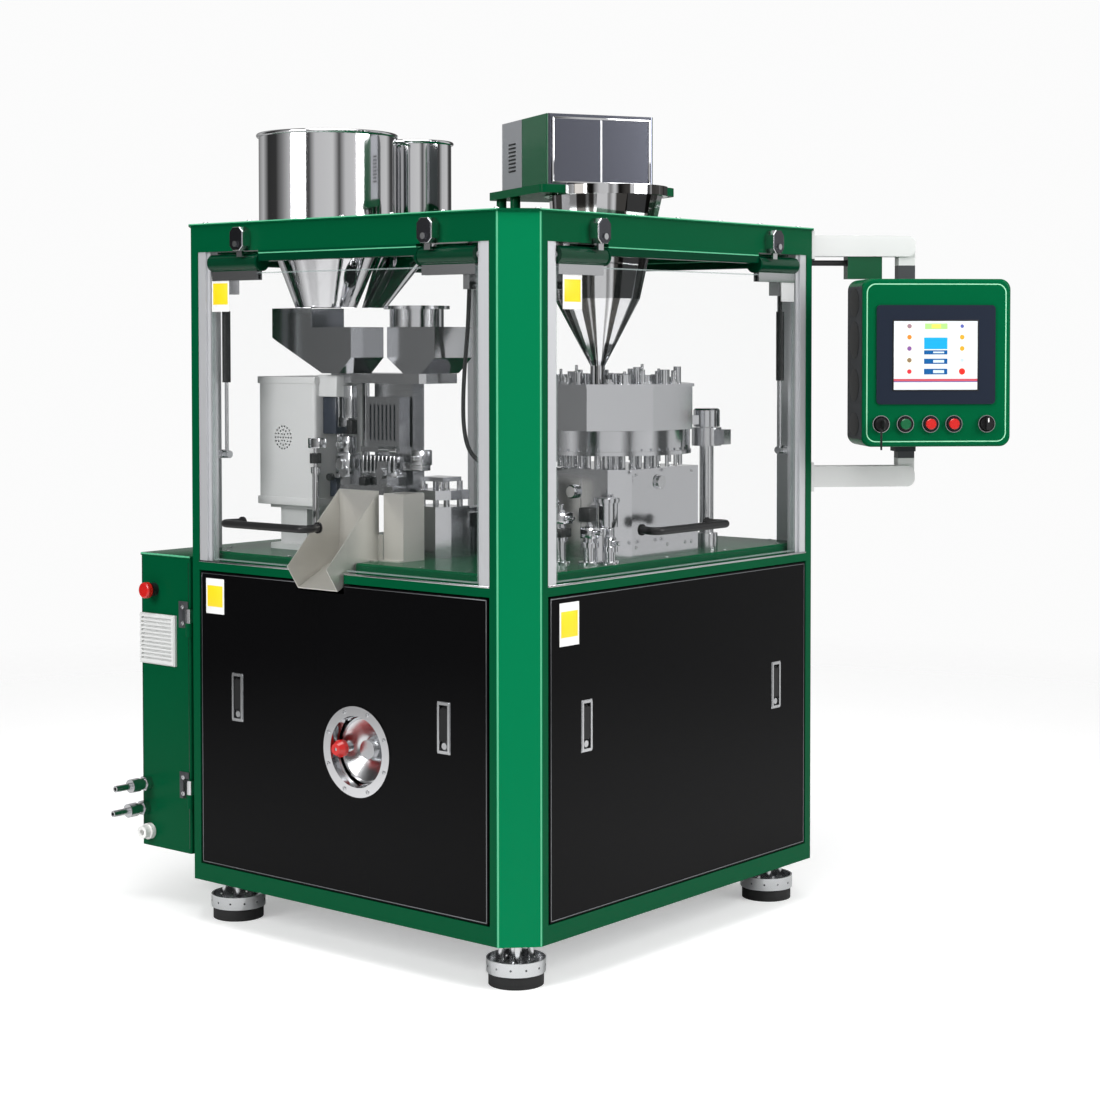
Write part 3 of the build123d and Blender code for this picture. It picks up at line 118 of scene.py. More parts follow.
class Recipe:
    """The node tree of one material, or of the world."""

    def __init__(self, owner):
        owner.use_nodes = True
        self.owner = owner
        self.tree = owner.node_tree
        self.axes = None

    def node(self, kind, settings=None, sockets=None, out=0):
        """Adds a node. Its settings come first, then the values or links of its sockets."""
        made = self.tree.nodes.new(kind)
        for key, value in (settings or {}).items():
            if key == "stops":
                self.set_stops(made.color_ramp, value)
            else:
                setattr(made, key, value)
        for key, value in (sockets or {}).items():
            self.feed(made.inputs[key], value)
        return Wire(self, made.outputs[out])

    def set_stops(self, ramp, stops):
        """Fills a ramp, whose first and last stop are there from the start."""
        for element, (position, colour) in zip(ramp.elements, (stops[0], stops[-1])):
            element.position, element.color = position, colour
        for position, colour in stops[1:-1]:
            ramp.elements.new(position).color = colour

    def feed(self, socket, value):
        if isinstance(value, Wire):
            self.tree.links.new(value.socket, socket)
        else:
            socket.default_value = value

    def shade(self, sockets):
        """Feeds the material's own shader."""
        shader = self.tree.nodes["Principled BSDF"]
        for key, value in sockets.items():
            self.feed(shader.inputs[key], value)

    def maths(self, operation, first, second=0.0, third=0.0):
        return self.node("ShaderNodeMath", {"operation": operation}, {0: first, 1: second, 2: third})

    def place(self, axis):
        """The place along x, y or z in millimetres, or along a level line turned by some degrees from x."""
        if self.axes is None:
            where = self.node("ShaderNodeTexCoord", out=3)
            split = self.node("ShaderNodeSeparateXYZ", None, {0: where}).socket.node
            self.axes = {name: Wire(self, split.outputs[k]) * 1000.0 for k, name in enumerate("xyz")}
        if axis not in self.axes:
            turn = math.radians(axis)
            self.axes[axis] = self.axes["x"] * math.cos(turn) + self.axes["y"] * math.sin(turn)
        return self.axes[axis]

    def inside(self, spans):
        """1 inside a box given by a (low, high) pair in millimetres for some axes, and 0 outside it."""
        mask = None
        for axis, (low, high) in spans.items():
            step = self.maths("COMPARE", self.place(axis), (low + high) / 2, (high - low) / 2)
            mask = step if mask is None else mask * step
        return mask

    def blend(self, mask, first, second):
        """A colour or a number that is the first where the mask is 0 and the second where it is 1."""
        plain = not first.coloured if isinstance(first, Wire) else isinstance(first, (int, float))
        if plain:
            return self.node("ShaderNodeMix", {"data_type": "FLOAT"}, {0: mask, 2: first, 3: second})
        mixed = self.node("ShaderNodeMix", {"data_type": "RGBA"}, {0: mask, 6: first, 7: second}, out=2)
        mixed.coloured = True
        return mixed

    def noise(self, scale, stretch=(1.0, 1.0, 1.0)):
        """Noise with features about 1/scale metres across, drawn out along an axis by a small stretch."""
        where = self.node("ShaderNodeTexCoord", out=3)
        stretched = self.node("ShaderNodeMapping", None, {"Vector": where, "Scale": stretch})
        return self.node("ShaderNodeTexNoise", None, {"Vector": stretched, "Scale": scale, "Detail": 3.0})


def paint_mix(red, green, blue):
    """A colour as a painter's chart gives it, from 0 to 255, turned into the light values that Blender uses."""
    def lit(value):
        share = value / 255
        return share / 12.92 if share <= 0.04045 else ((share + 0.055) / 1.055) ** 2.4
    return (lit(red), lit(green), lit(blue), 1.0)


# %% [markdown]
# A finish is a colour, a roughness and how metallic it is. Real machines have only a handful: green and grey
# enamel, black enamel, brushed and polished steel, anodised strip, rubber and a few plastics. Each also has a fine
# texture: enamel dries with a faint orange peel, brushed steel keeps the marks of the belt, and a casting is rough
# under its paint. The texture goes to a Bump node and stirs the roughness a little.

# %% Finishes
def look(red, green, blue, rough, metal=0.0):
    return (paint_mix(red, green, blue), rough, metal)


GREEN = look(0, 76, 45, 0.24)
# A lighter copy of the frame's green, as painted light on the control panel's face.
PANEL_LIT_GREEN = look(0, 86, 50, 0.24)
# A lighter copy of the frame's green, as painted light on the near post's slanted face.
POST_PAINTED_LIGHT_GREEN = look(0, 116, 72, 0.24)
# Darker copies of the frame's green, as painted shade on the header's front under the deck and on the header's lower
# inset strip.
HEADER_SHADE_GREEN = look(0, 62, 38, 0.24)
INSET_SHADE_GREEN = look(0, 52, 32, 0.24)
DARK_GREEN = look(0, 52, 32, 0.22)
# A paler green for the painted highlights along folds and edges.
HIGHLIGHT_GREEN = look(92, 176, 136, 0.3)
GREEN_LENS = look(0, 92, 52, 0.2)
RED = look(196, 26, 22, 0.22)
YELLOW = look(250, 215, 20, 0.4)
WHITE = look(238, 238, 236, 0.35)
PALE_GREY = look(214, 215, 214, 0.4)
GREY_ENAMEL = look(196, 197, 197, 0.32)
FEEDER_GREY = look(140, 141, 146, 0.35, 0.2)
CASTING = look(96, 102, 108, 0.45, 0.2)
CHARCOAL = look(58, 60, 63, 0.4)
SLATE = look(34, 40, 52, 0.3)
BLACK_PLASTIC = look(26, 26, 27, 0.42)
BLACK_ENAMEL = look(9, 9, 10, 0.1)
RUBBER = look(24, 24, 25, 0.75)
POLISHED = look(222, 222, 224, 0.07, 1.0)
BRUSHED = look(210, 211, 214, 0.13, 1.0)
SATIN = look(205, 206, 208, 0.2, 1.0)
ANODISED = look(206, 207, 210, 0.34, 0.5)
CHUTE = look(206, 204, 198, 0.3, 0.65)
BEAD_STEEL = look(128, 130, 133, 0.3, 1.0)
FEEDER_FACE = look(98, 100, 110, 0.16, 1.0)
DARK_STEEL = look(84, 85, 90, 0.22, 1.0)

# For each texture: the scale of its noise, how the noise is drawn out, and the strength of the relief.
TEXTURES = {
    "enamel": (260.0, (1.0, 1.0, 1.0), 0.04),
    "moulded": (1500.0, (1.0, 1.0, 1.0), 0.12),
    "cast": (420.0, (1.0, 1.0, 1.0), 0.35),
    "brushed_up": (2400.0, (1.0, 1.0, 0.008), 0.012),
    "brushed_across": (2400.0, (0.008, 0.008, 1.0), 0.012),
    "polished": (9.0, (1.0, 1.0, 0.3), 0.015),
}
print("textures", len(TEXTURES))

# %% [markdown]
# A material is then one function: the base finish, a slow cloud of noise that dulls it a little, as handling does,
# and the fine texture. Zones are boxes that hold another finish. They save cutting a mesh where one CAD node has
# pieces of several finishes, and a later zone lies over an earlier one.

# %% Making a material
CLOUD_SCALE = 3.5
CLOUD_SHARE = 0.12
CLOUD_GREY = (0.72, 0.73, 0.74, 1.0)
STIR = 0.10
RELIEF_DEPTH = 0.0004


def recipe_named(name):
    return Recipe(bpy.data.materials.new(name))


def finish(name, base, *zones, texture="enamel", coat=0.0, gloss=0.5):
    """A material of one base finish, with other finishes inside some boxes of the machine."""
    recipe = recipe_named(name)
    colour, rough, metal = base
    scale, stretch, strength = TEXTURES[texture]
    marks = recipe.noise(scale, stretch)
    bump = recipe.node("ShaderNodeBump", None, {"Strength": strength, "Distance": RELIEF_DEPTH, "Height": marks})
    cloud = recipe.noise(CLOUD_SCALE)
    colour = recipe.node("ShaderNodeMix", {"data_type": "RGBA", "blend_type": "MULTIPLY"},
                         {0: cloud * CLOUD_SHARE, 6: colour, 7: CLOUD_GREY}, out=2)
    colour.coloured = True
    rough = marks * STIR + (rough - STIR / 2)
    for spans, (other_colour, other_rough, other_metal) in zones:
        mask = recipe.inside(spans)
        colour = recipe.blend(mask, colour, other_colour)
        rough = recipe.blend(mask, rough, other_rough)
        metal = recipe.blend(mask, metal, other_metal)
    recipe.shade({"Base Color": colour, "Roughness": rough, "Metallic": metal, "Normal": bump,
                  "Coat Weight": coat, "Specular IOR Level": gloss})
    return recipe.owner


def lay_over(recipe, mask, paint):
    """Lays a paint over the colour that a material already has, where the mask is 1."""
    socket = recipe.tree.nodes["Principled BSDF"].inputs["Base Color"]
    below = Wire(recipe, socket.links[0].from_socket, coloured=True)
    recipe.feed(socket, recipe.blend(mask, below, paint))


def wear(material, *names):
    """Gives CAD nodes a material, without touching their meshes."""
    for name in names:
        item = nodes[name]
        if not item.material_slots:
            item.data.materials.append(material)
        for place in item.material_slots:
            place.material = material


# %% [markdown]
# The guards are clear sheet. A sheet of real glass would darken everything behind it in a short render, so the sheet
# is a film that hardly shows, with a clean gloss. Its sawn edges catch the light, so they are made more opaque as a
# painted highlight.

# %% Clear sheet
SHEET_TINT = paint_mix(158, 172, 170)
FILM_ALPHA = 0.008
SMEAR_ALPHA = 0.006
EDGE_HIGHLIGHT_ALPHA = 0.4


def clear_sheet(name, *edges):
    recipe = recipe_named(name)
    smear = recipe.noise(2.0)
    film = smear * SMEAR_ALPHA + FILM_ALPHA
    # The sawn edges are more opaque, as a painted highlight.
    for spans in edges:
        film = recipe.blend(recipe.inside(spans), film, EDGE_HIGHLIGHT_ALPHA)
    recipe.shade({"Base Color": SHEET_TINT, "Roughness": smear * 0.04 + 0.02, "Alpha": film})
    return recipe.owner


def rim_of(node, width=3.0):
    """Boxes that hold the four sawn edges of an upright sheet, in millimetres."""
    low, high = box_mm(node)
    along = "x" if high.x - low.x > high.y - low.y else "y"
    k = "xyz".index(along)
    return (
        {along: (low[k] - 1, low[k] + width)},
        {along: (high[k] - width, high[k] + 1)},
        {"z": (low.z - 1, low.z + width)},
        {"z": (high.z - width, high.z + 1)},
    )


wear(clear_sheet("front_sheet", *rim_of("front_door_glass")), "front_door_glass")
wear(clear_sheet("side_sheet", *rim_of("side_door_glass")), "side_door_glass")
wear(clear_sheet("fixed_sheet"), "fixed_guards")
print("clear sheets worn")

# %% [markdown]
# Most nodes wear one finish all over. The finishes that several nodes or later pieces share get a name of their own.

# %% Nodes of one finish
GREEN_GLOSS = 0.05
BLACK_GLOSS = 0.06
green = finish("green_enamel", GREEN, gloss=GREEN_GLOSS)
steel = finish("brushed_steel", BRUSHED, texture="brushed_up")
steel_flat = finish("brushed_steel_flat", BRUSHED, texture="brushed_across")
mirror = finish("polished_steel", POLISHED, texture="polished")
satin = finish("satin_steel", SATIN, texture="brushed_across")
black_plastic = finish("black_moulding", BLACK_PLASTIC, texture="moulded", gloss=0.25)
black_enamel = finish("black_enamel", BLACK_ENAMEL, gloss=BLACK_GLOSS)
casting = finish("painted_casting", CASTING, texture="cast")
red = finish("red_moulding", RED, texture="moulded", coat=0.4)
rubber = finish("black_rubber", RUBBER, texture="moulded")
grey = finish("grey_enamel", GREY_ENAMEL, coat=0.1)
anodised = finish("anodised_strip", ANODISED, texture="brushed_up")

wear(green, "frame_rails", "table_top", "electrical_box", "feeder_plate")
wear(black_enamel, "fixed_panels")
wear(grey, "feed_box")
wear(casting, "drive_motor", "index_box", "vacuum_pump")
wear(anodised, "jamb_strips")
wear(rubber, "foot_pads")
wear(satin, "foot_cups", "main_shaft", "adjuster_column", "feed_frame", "handwheel")
wear(satin, "front_spring_rods", "side_spring_rods")
wear(steel, "turret_housing", "turret", "dosing_housing", "dosing_disc", "tamping_head", "feeder_trays")
wear(steel_flat, "drive_base", "feed_magazine")
wear(mirror, "capsule_hoppers", "capsule_ducts", "handwheel_port")
wear(finish("chute_sheet", CHUTE, texture="brushed_across"), "discharge_chute")
wear(red, "handwheel_knob", "e_stop", "red_button_left", "red_button_right")
wear(finish("green_lens", GREEN_LENS, texture="moulded", coat=0.4), "green_button")
wear(black_plastic, "key_switch", "selector_switch", "front_spring_tubes", "side_spring_tubes")
wear(black_plastic, "front_latch_left", "front_latch_right", "side_latch_left", "side_latch_right")
print("shared finishes worn")

# %% [markdown]
# The green frame is folded sheet. Its folds catch the light as thin bright lines, which a short render would lose,
# so they are painted highlights: narrow zones of a paler green. The header's front lies under the deck's edge and
# gets a darker green as painted shade, and its lower inset strip gets a darker green as painted shade too. The near
# post's slanted face gets a lighter green as painted light. A heading of 45 degrees runs along the near post's
# slanted face, and -45 out of it.

# %% Green frame
HEADER_FRONT = (-HALF_D - 10, -HALF_D + 20)
HEADER_INSET_SHADE, HEADER_FOLD_HIGHLIGHT = (1560, 1605), (1605, 1607.5)
DECK_EDGE_HIGHLIGHT = (1678.6, 1682)
DECK_FRONT, DECK_SIDE = (-HALF_D - 5, -HALF_D - 3), (HALF_W + 3, HALF_W + 5)
POST_FACE = (758, 765)
POST_FOLD_HIGHLIGHTS = ((-78, -74.4), (14.8, 18))
# Painted shade on the header's front and lower strip, and a painted highlight on its fold.
wear(finish("header_enamel", GREEN,
            ({"y": HEADER_FRONT}, HEADER_SHADE_GREEN),
            ({"z": HEADER_INSET_SHADE}, INSET_SHADE_GREEN),
            ({"z": HEADER_FOLD_HIGHLIGHT}, HIGHLIGHT_GREEN), gloss=GREEN_GLOSS), "header_rails")
# Painted highlights along the deck's front and side edges.
wear(finish("deck_enamel", GREEN,
            ({"y": DECK_FRONT, "z": DECK_EDGE_HIGHLIGHT}, HIGHLIGHT_GREEN),
            ({"x": DECK_SIDE, "z": DECK_EDGE_HIGHLIGHT}, HIGHLIGHT_GREEN), gloss=GREEN_GLOSS), "deck_plate")
# Painted light on the post's slanted face, with painted highlights on its two folds.
wear(finish("post_enamel", GREEN,
            ({-45: POST_FACE}, POST_PAINTED_LIGHT_GREEN),
            *[({-45: POST_FACE, 45: fold}, HIGHLIGHT_GREEN) for fold in POST_FOLD_HIGHLIGHTS], gloss=GREEN_GLOSS), "frame_posts")
print("green frame worn")

# %% [markdown]
# A polished funnel mirrors the whole room in narrow upright bands. A few cards in the world are too coarse for that,
# so its steel gets painted reflections: dark streaks by the heading round the funnel's axis, two sines of different
# pace, cut off below.

# %% Funnel
FUNNEL_X, FUNNEL_Y = 364.0, -90.0
REFLECTION_STREAK_DARK = paint_mix(72, 70, 68)


def steel_with_painted_reflections(name, axis_x, axis_y):
    """Polished steel with painted reflections: upright dark streaks round a standing axis."""
    recipe = Recipe(finish(name, POLISHED, texture="polished"))
    heading = recipe.maths("ARCTAN2", recipe.place("y") - axis_y, recipe.place("x") - axis_x)
    bands = recipe.maths("SINE", heading * 9.0) + recipe.maths("SINE", heading * 23.0) * 0.6
    dark = recipe.maths("MINIMUM", recipe.maths("MAXIMUM", bands * 2.5, 0.0), 1.0)
    # Lays the painted dark reflection streaks over the steel's colour.
    lay_over(recipe, dark, REFLECTION_STREAK_DARK)
    return recipe.owner


wear(steel_with_painted_reflections("funnel_steel", FUNNEL_X, FUNNEL_Y), "powder_funnel")
print("funnel worn")

# %% [markdown]
# The other nodes hold pieces of several finishes, such as a door's black handle, its satin clamps and its green
# hinge barrels. Each zone is a box in the machine's own millimetres round one of those pieces.

# %% Nodes of several finishes
ARM_END = (980, 1060)
wear(finish("arm_enamel", PALE_GREY,
            ({45: (857, 947), "z": (1550, 1612)}, GREEN),
            ({45: (761, 859), "z": (1587, 1605)}, BLACK_PLASTIC),
            ({45: ARM_END, "z": (1508, 1590)}, CHARCOAL),
            ({45: ARM_END, "z": (1106, 1150)}, CHARCOAL)), "control_arm")
CLAMPS, BARRELS = (1490, 1566), (1566, 1610)
wear(finish("door_fittings", BLACK_PLASTIC,
            ({"z": CLAMPS}, SATIN),
            ({"z": BARRELS}, DARK_GREEN), gloss=0.3), "front_door_fittings", "side_door_fittings")
BLOCK_FACE, BLOCK_SCREW, BLOCK_LEVEL = 28, 26.2, (1611, 1700)
wear(finish("hinge_steel", SATIN,
            ({"y": (-HALF_D - BLOCK_FACE, -HALF_D - BLOCK_SCREW), "z": BLOCK_LEVEL}, DARK_STEEL),
            ({"x": (HALF_W + BLOCK_SCREW, HALF_W + BLOCK_FACE), "z": BLOCK_LEVEL}, DARK_STEEL),
            texture="brushed_across"), "hinge_hardware")
FILTER = {"x": (-760, -615), "y": (-600, -500), "z": (590, 735)}
GLAND = {"x": (-750, -700), "z": (150, 200)}
STOP_COLLAR = {"x": (-725, -680), "z": (760, 810)}
wear(finish("box_fittings", SATIN,
            (FILTER, PALE_GREY), (GLAND, WHITE), (STOP_COLLAR, BLACK_PLASTIC)), "box_fittings")
FEEDER_TURN = -28
FEEDER_CORNER = 400.3
FEEDER_SEAM = FEEDER_CORNER - 157
FEEDER_HIGHLIGHT_STREAK = (76.5, 81)
# The feeder's face gets a painted highlight: a narrow upright streak of paler metal down its middle.
wear(finish("feeder_case", FEEDER_GREY,
            ({FEEDER_TURN: (FEEDER_SEAM, FEEDER_CORNER - 1)}, GREEN),
            ({FEEDER_TURN: (FEEDER_CORNER - 1, FEEDER_CORNER + 5)}, FEEDER_FACE),
            ({FEEDER_TURN: (FEEDER_CORNER + 0.5, FEEDER_CORNER + 5), FEEDER_TURN + 90: FEEDER_HIGHLIGHT_STREAK}, ANODISED),
            texture="polished", gloss=0.3), "powder_feeder")
print("fittings worn")

# %% [markdown]
# The lower covers are black enamel, and each holds two latch cases of satin steel, left and right of its middle.

# %% Lower covers
LATCH_LEVEL = (503, 617)
HALF_LATCH = 19


def case_zones(axis, place):
    """The two latch cases of a cover, as zones."""
    return [({axis: (u - HALF_LATCH, u + HALF_LATCH), "z": LATCH_LEVEL}, SATIN) for u in (-place, place)]


wear(finish("front_cover", BLACK_ENAMEL, *case_zones("x", 329), gloss=BLACK_GLOSS), "front_panel")
wear(finish("side_cover", BLACK_ENAMEL, *case_zones("y", 371), gloss=BLACK_GLOSS), "side_panel")
print("covers worn")

# %% [markdown]
# The control panel turns on the diagonal of its corner: 45 degrees runs along its width, -45 out of its face. It is
# green, a lighter copy of the frame's green as painted light, with a charcoal side and a slate frame round the
# screen. Where its face meets the rounded edge runs a bright fold line, a painted highlight. It is drawn as the
# outline of a rounded rectangle, from the distance to that rectangle.

# %% Control panel
PANEL_AXIS = (1006.5, -29.7)
PANEL_LEFT, PANEL_RIGHT = -150.0, 222.0
PANEL_FACE = 180.0
PANEL_FOOT, PANEL_HEAD = 1142.0, 1552.0
FOLD_INSET = 13.0
FOLD_ROUND = 22.0
FOLD_WIDTH = 2.6
FOLD_HIGHLIGHT_PAINT = paint_mix(150, 214, 176)


def fold_highlight_mask(recipe, face):
    """A mask that is 1 on a thin rounded outline just inside the panel's edge, where the fold's painted highlight
    goes.
    """
    half_width = (PANEL_RIGHT - PANEL_LEFT) / 2 - FOLD_INSET - FOLD_ROUND
    half_height = (PANEL_HEAD - PANEL_FOOT) / 2 - FOLD_INSET - FOLD_ROUND
    middle = PANEL_AXIS[0] + (PANEL_LEFT + PANEL_RIGHT) / 2
    level = (PANEL_HEAD + PANEL_FOOT) / 2
    across = recipe.maths("ABSOLUTE", recipe.place(45) - middle) - half_width
    upward = recipe.maths("ABSOLUTE", recipe.place("z") - level) - half_height
    outer_x = recipe.maths("MAXIMUM", across, 0.0)
    outer_z = recipe.maths("MAXIMUM", upward, 0.0)
    corner = recipe.maths("SQRT", outer_x * outer_x + outer_z * outer_z)
    flat = recipe.maths("MINIMUM", recipe.maths("MAXIMUM", across, upward), 0.0)
    line = recipe.maths("COMPARE", corner + flat, FOLD_ROUND, FOLD_WIDTH / 2)
    return line * recipe.maths("COMPARE", recipe.place(-45), face, 0.35)


def panel_finish():
    face = PANEL_AXIS[1] + PANEL_FACE
    side = PANEL_AXIS[0] + PANEL_LEFT
    recipe = Recipe(finish("panel_enamel", PANEL_LIT_GREEN,
                           ({45: (side - 5, side + 1.5)}, CHARCOAL),
                           ({-45: (face + 0.4, face + 5), "z": (1240, 1492)}, SLATE),
                           ({-45: (face + 0.4, face + 16), "z": (1170, 1226)}, BLACK_PLASTIC),
                           ({"z": (PANEL_HEAD + 0.4, 1700)}, CHARCOAL),
                           ({"z": (1000, PANEL_FOOT - 0.4)}, CHARCOAL), gloss=GREEN_GLOSS))
    # Lays the fold's painted highlight over the panel's colour.
    lay_over(recipe, fold_highlight_mask(recipe, face), FOLD_HIGHLIGHT_PAINT)
    return recipe.owner


wear(panel_finish(), "control_panel")
print("dressed", len(nodes), "CAD nodes")

# %% [markdown]
# The studio is a world, three lamps and a floor. Polished steel has no look of its own and shows what stands round
# it, so the world holds dark cards between bright ones, as photographers set up round metal. Only the camera sees
# the pale backdrop instead.

# %% World
BACKDROP = (0.97, 0.97, 0.97, 1.0)
ROOM = 0.72
# Each card is a place round the horizon, from 0 to 1, and how bright it is there.
CARDS = ((0.0, 0.75), (0.05, 0.05), (0.11, 0.06), (0.15, 0.35), (0.2, 0.9), (0.235, 0.12), (0.29, 0.08),
         (0.32, 0.9), (0.4, 1.0), (0.43, 0.1), (0.46, 0.9), (0.53, 1.0), (0.56, 0.06), (0.6, 0.1), (0.62, 0.8),
         (0.7, 0.95), (0.74, 0.1), (0.8, 0.06), (0.86, 0.85), (0.92, 0.3), (1.0, 0.75))
world = bpy.data.worlds.new("studio_world")
bpy.context.scene.world = world
sky = Recipe(world)
direction = sky.node("ShaderNodeTexCoord", out=0)
parts = sky.node("ShaderNodeSeparateXYZ", None, {0: direction}).socket.node
heading = sky.maths("ARCTAN2", Wire(sky, parts.outputs[1]), Wire(sky, parts.outputs[0]))
around = heading * (0.5 / math.pi) + 0.5
stops = [(position, (level * ROOM, level * ROOM, level * ROOM, 1.0)) for position, level in CARDS]
cards = sky.node("ShaderNodeValToRGB", {"stops": stops}, {0: around})
cards.coloured = True
seen_directly = sky.node("ShaderNodeLightPath")
background = world.node_tree.nodes["Background"]
sky.feed(background.inputs["Color"], sky.blend(seen_directly, cards, BACKDROP))
background.inputs["Strength"].default_value = 1.0
print("cards", len(CARDS))

# %% [markdown]
# A broad soft lamp stands on each side and one hangs above. Their places are chosen by what the steel and the enamel
# mirror: a lamp straight in front of a glossy face would wash its colour out.

# %% Lamps
MIDDLE = Vector((0.0, 0.0, 1.0))
# Each lamp is a name, a place and a size in metres, and a power.
LAMPS = (("left_softbox", (-0.6, -5.3, 3.0), 2.4, 190), ("right_softbox", (4.6, 1.1, 2.8), 2.2, 150),
         ("top_softbox", (0.6, -0.8, 4.6), 2.8, 120))
for name, place, size, power in LAMPS:
    lamp_data = bpy.data.lights.new(name, "AREA")
    lamp_data.size = size
    lamp_data.energy = power
    lamp = add_object(name, lamp_data)
    lamp.location = place
    lamp.rotation_euler = (MIDDLE - Vector(place)).to_track_quat("-Z", "Y").to_euler()
print("lamps", len(LAMPS))

# %% [markdown]
# The floor is a plain disc that fades out before its edge, so that no horizon shows. The camera sees it a little
# lifted towards white, and it keeps the machine's shadow.

# %% Floor
FLOOR_RADIUS = 9.0
FADE_START, FADE_END = 1600.0, 5200.0
FLOOR_LIFT = 0.34
disc = bmesh.new()
bmesh.ops.create_circle(disc, cap_ends=True, radius=FLOOR_RADIUS, segments=96)
floor_data = bpy.data.meshes.new("studio_floor")
disc.to_mesh(floor_data)
disc.free()
floor = add_object("studio_floor", floor_data)
ground = recipe_named("pale_floor")
far = ground.maths("SQRT", ground.place("x") * ground.place("x") + ground.place("y") * ground.place("y"))
fade = ground.node("ShaderNodeMapRange", {"clamp": True},
                   {"Value": far, "From Min": FADE_START, "From Max": FADE_END, "To Min": 1.0, "To Max": 0.0})
ground.shade({"Base Color": (0.9, 0.9, 0.9, 1.0), "Roughness": 0.9, "Specular IOR Level": 0.1,
              "Emission Color": (1.0, 1.0, 1.0, 1.0),
              "Emission Strength": ground.node("ShaderNodeLightPath") * FLOOR_LIFT, "Alpha": fade})
floor_data.materials.append(ground.owner)
print("studio ready")

# %% [markdown]
# Small pieces are cut from two shapes. A slab is a cube that is scaled and has its edges bevelled, and a turned
# shape is a profile of radii and heights spun round an axis, as on a lathe. Both are drawn in millimetres.

# %% Slabs and turned shapes
UP, TO_FRONT, TO_SIDE = (0, 0, 1), (0, -1, 0), (1, 0, 0)


def slab(low, high, round_off=0.0):
    low, high = Vector(low), Vector(high)
    shape = bmesh.new()
    bmesh.ops.create_cube(shape, size=1.0)
    bmesh.ops.scale(shape, vec=high - low, verts=shape.verts)
    bmesh.ops.translate(shape, vec=(low + high) / 2, verts=shape.verts)
    if round_off:
        bmesh.ops.bevel(shape, geom=shape.edges[:], offset=round_off, offset_type="OFFSET", affect="EDGES",
                        segments=2, profile=0.5, material=-1)
    return shape


def turned(profile, at, axis=UP, steps=28):
    shape = bmesh.new()
    points = [shape.verts.new((radius, 0, height)) for radius, height in profile]
    for first, second in zip(points, points[1:]):
        shape.edges.new((first, second))
    bmesh.ops.spin(shape, geom=shape.verts[:] + shape.edges[:], cent=(0, 0, 0), axis=UP,
                   angle=2 * math.pi, steps=steps, use_merge=True)
    bmesh.ops.remove_doubles(shape, verts=shape.verts, dist=0.001)
    turn = Vector(axis).to_track_quat("Z", "Y").to_matrix().to_4x4()
    bmesh.ops.transform(shape, matrix=Matrix.Translation(at) @ turn, verts=shape.verts)
    return shape


def pin(radius, length, at, axis=UP, steps=28, ease=0.8):
    """A closed cylinder with its outer edge eased."""
    profile = [(0, 0), (radius, 0), (radius, length - ease), (radius - ease, length), (0, length)]
    return turned(profile, at, axis, steps)


def screw(radius, at, axis):
    """A low socket screw: a round head with a hollow in it."""
    height = radius * 0.7
    profile = [(0, 0), (radius, 0), (radius, height * 0.7), (radius * 0.8, height), (radius * 0.5, height),
               (radius * 0.5, height * 0.4), (0, height * 0.4)]
    return turned(profile, at, axis, 16)


def ring(outer, inner, height, at, axis, steps=36):
    profile = [(inner, 0), (outer, 0), (outer, height), (inner, height), (inner, 0)]
    return turned(profile, at, axis, steps)


print("shapes ready")

# %% [markdown]
# A Face knows one flat side of the machine, so that a place on it reads as along, outward and up. A piece then joins
# its shapes in one mesh, scales it to metres, marks the sharp edges and rides on the body that it moves with.

# %% Faces and pieces
SHARP = math.radians(35)
DIAGONAL = math.sqrt(0.5)


class Face:
    """A flat side of the machine."""

    def __init__(self, origin, along, outward):
        self.origin = Vector(origin)
        self.along = Vector(along)
        self.outward = Vector(outward)

    def at(self, u, v, z):
        return self.origin + self.along * u + self.outward * v + Vector((0, 0, z))

    def slab(self, u, v, z, round_off=0.0):
        shape = slab((u[0], v[0], z[0]), (u[1], v[1], z[1]), round_off)
        frame_matrix = Matrix((self.along, self.outward, UP)).transposed().to_4x4()
        bmesh.ops.transform(shape, matrix=Matrix.Translation(self.origin) @ frame_matrix, verts=shape.verts)
        return shape

    def screw(self, radius, u, v, z):
        return screw(radius, self.at(u, v, z), self.outward)


def piece(name, body, material, slot, *shapes):
    """One object from several shapes, scaled to metres, riding on a body."""
    whole = bmesh.new()
    for shape in shapes:
        passing = bpy.data.meshes.new("passing")
        shape.to_mesh(passing)
        shape.free()
        whole.from_mesh(passing)
        bpy.data.meshes.remove(passing)
    bmesh.ops.scale(whole, vec=(MM, MM, MM), verts=whole.verts)
    bmesh.ops.recalc_face_normals(whole, faces=whole.faces)
    for side in whole.faces:
        side.smooth = True
    for edge in whole.edges:
        if len(edge.link_faces) == 2 and edge.calc_face_angle() > SHARP:
            edge.smooth = False
    data = bpy.data.meshes.new(name)
    whole.to_mesh(data)
    whole.free()
    data.materials.append(material)
    made = add_object(name, data)
    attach(made, body)


FRONT = Face((0, -HALF_D, 0), TO_SIDE, TO_FRONT)
SIDE = Face((HALF_W, 0, 0), (0, 1, 0), TO_SIDE)
REAR = Face((0, HALF_D, 0), (-1, 0, 0), (0, 1, 0))
LEFT = Face((-HALF_W, 0, 0), TO_FRONT, (-1, 0, 0))
SIDES = {"front": (FRONT, HALF_W), "side": (SIDE, HALF_D), "rear": (REAR, HALF_W), "left": (LEFT, HALF_D)}
print("faces", list(SIDES))

# %% [markdown]
# The deck and the table plate are held by rows of small socket screws. All of one plate are one piece, because many
# separate objects would only slow the scene down, and a screw has few faces.

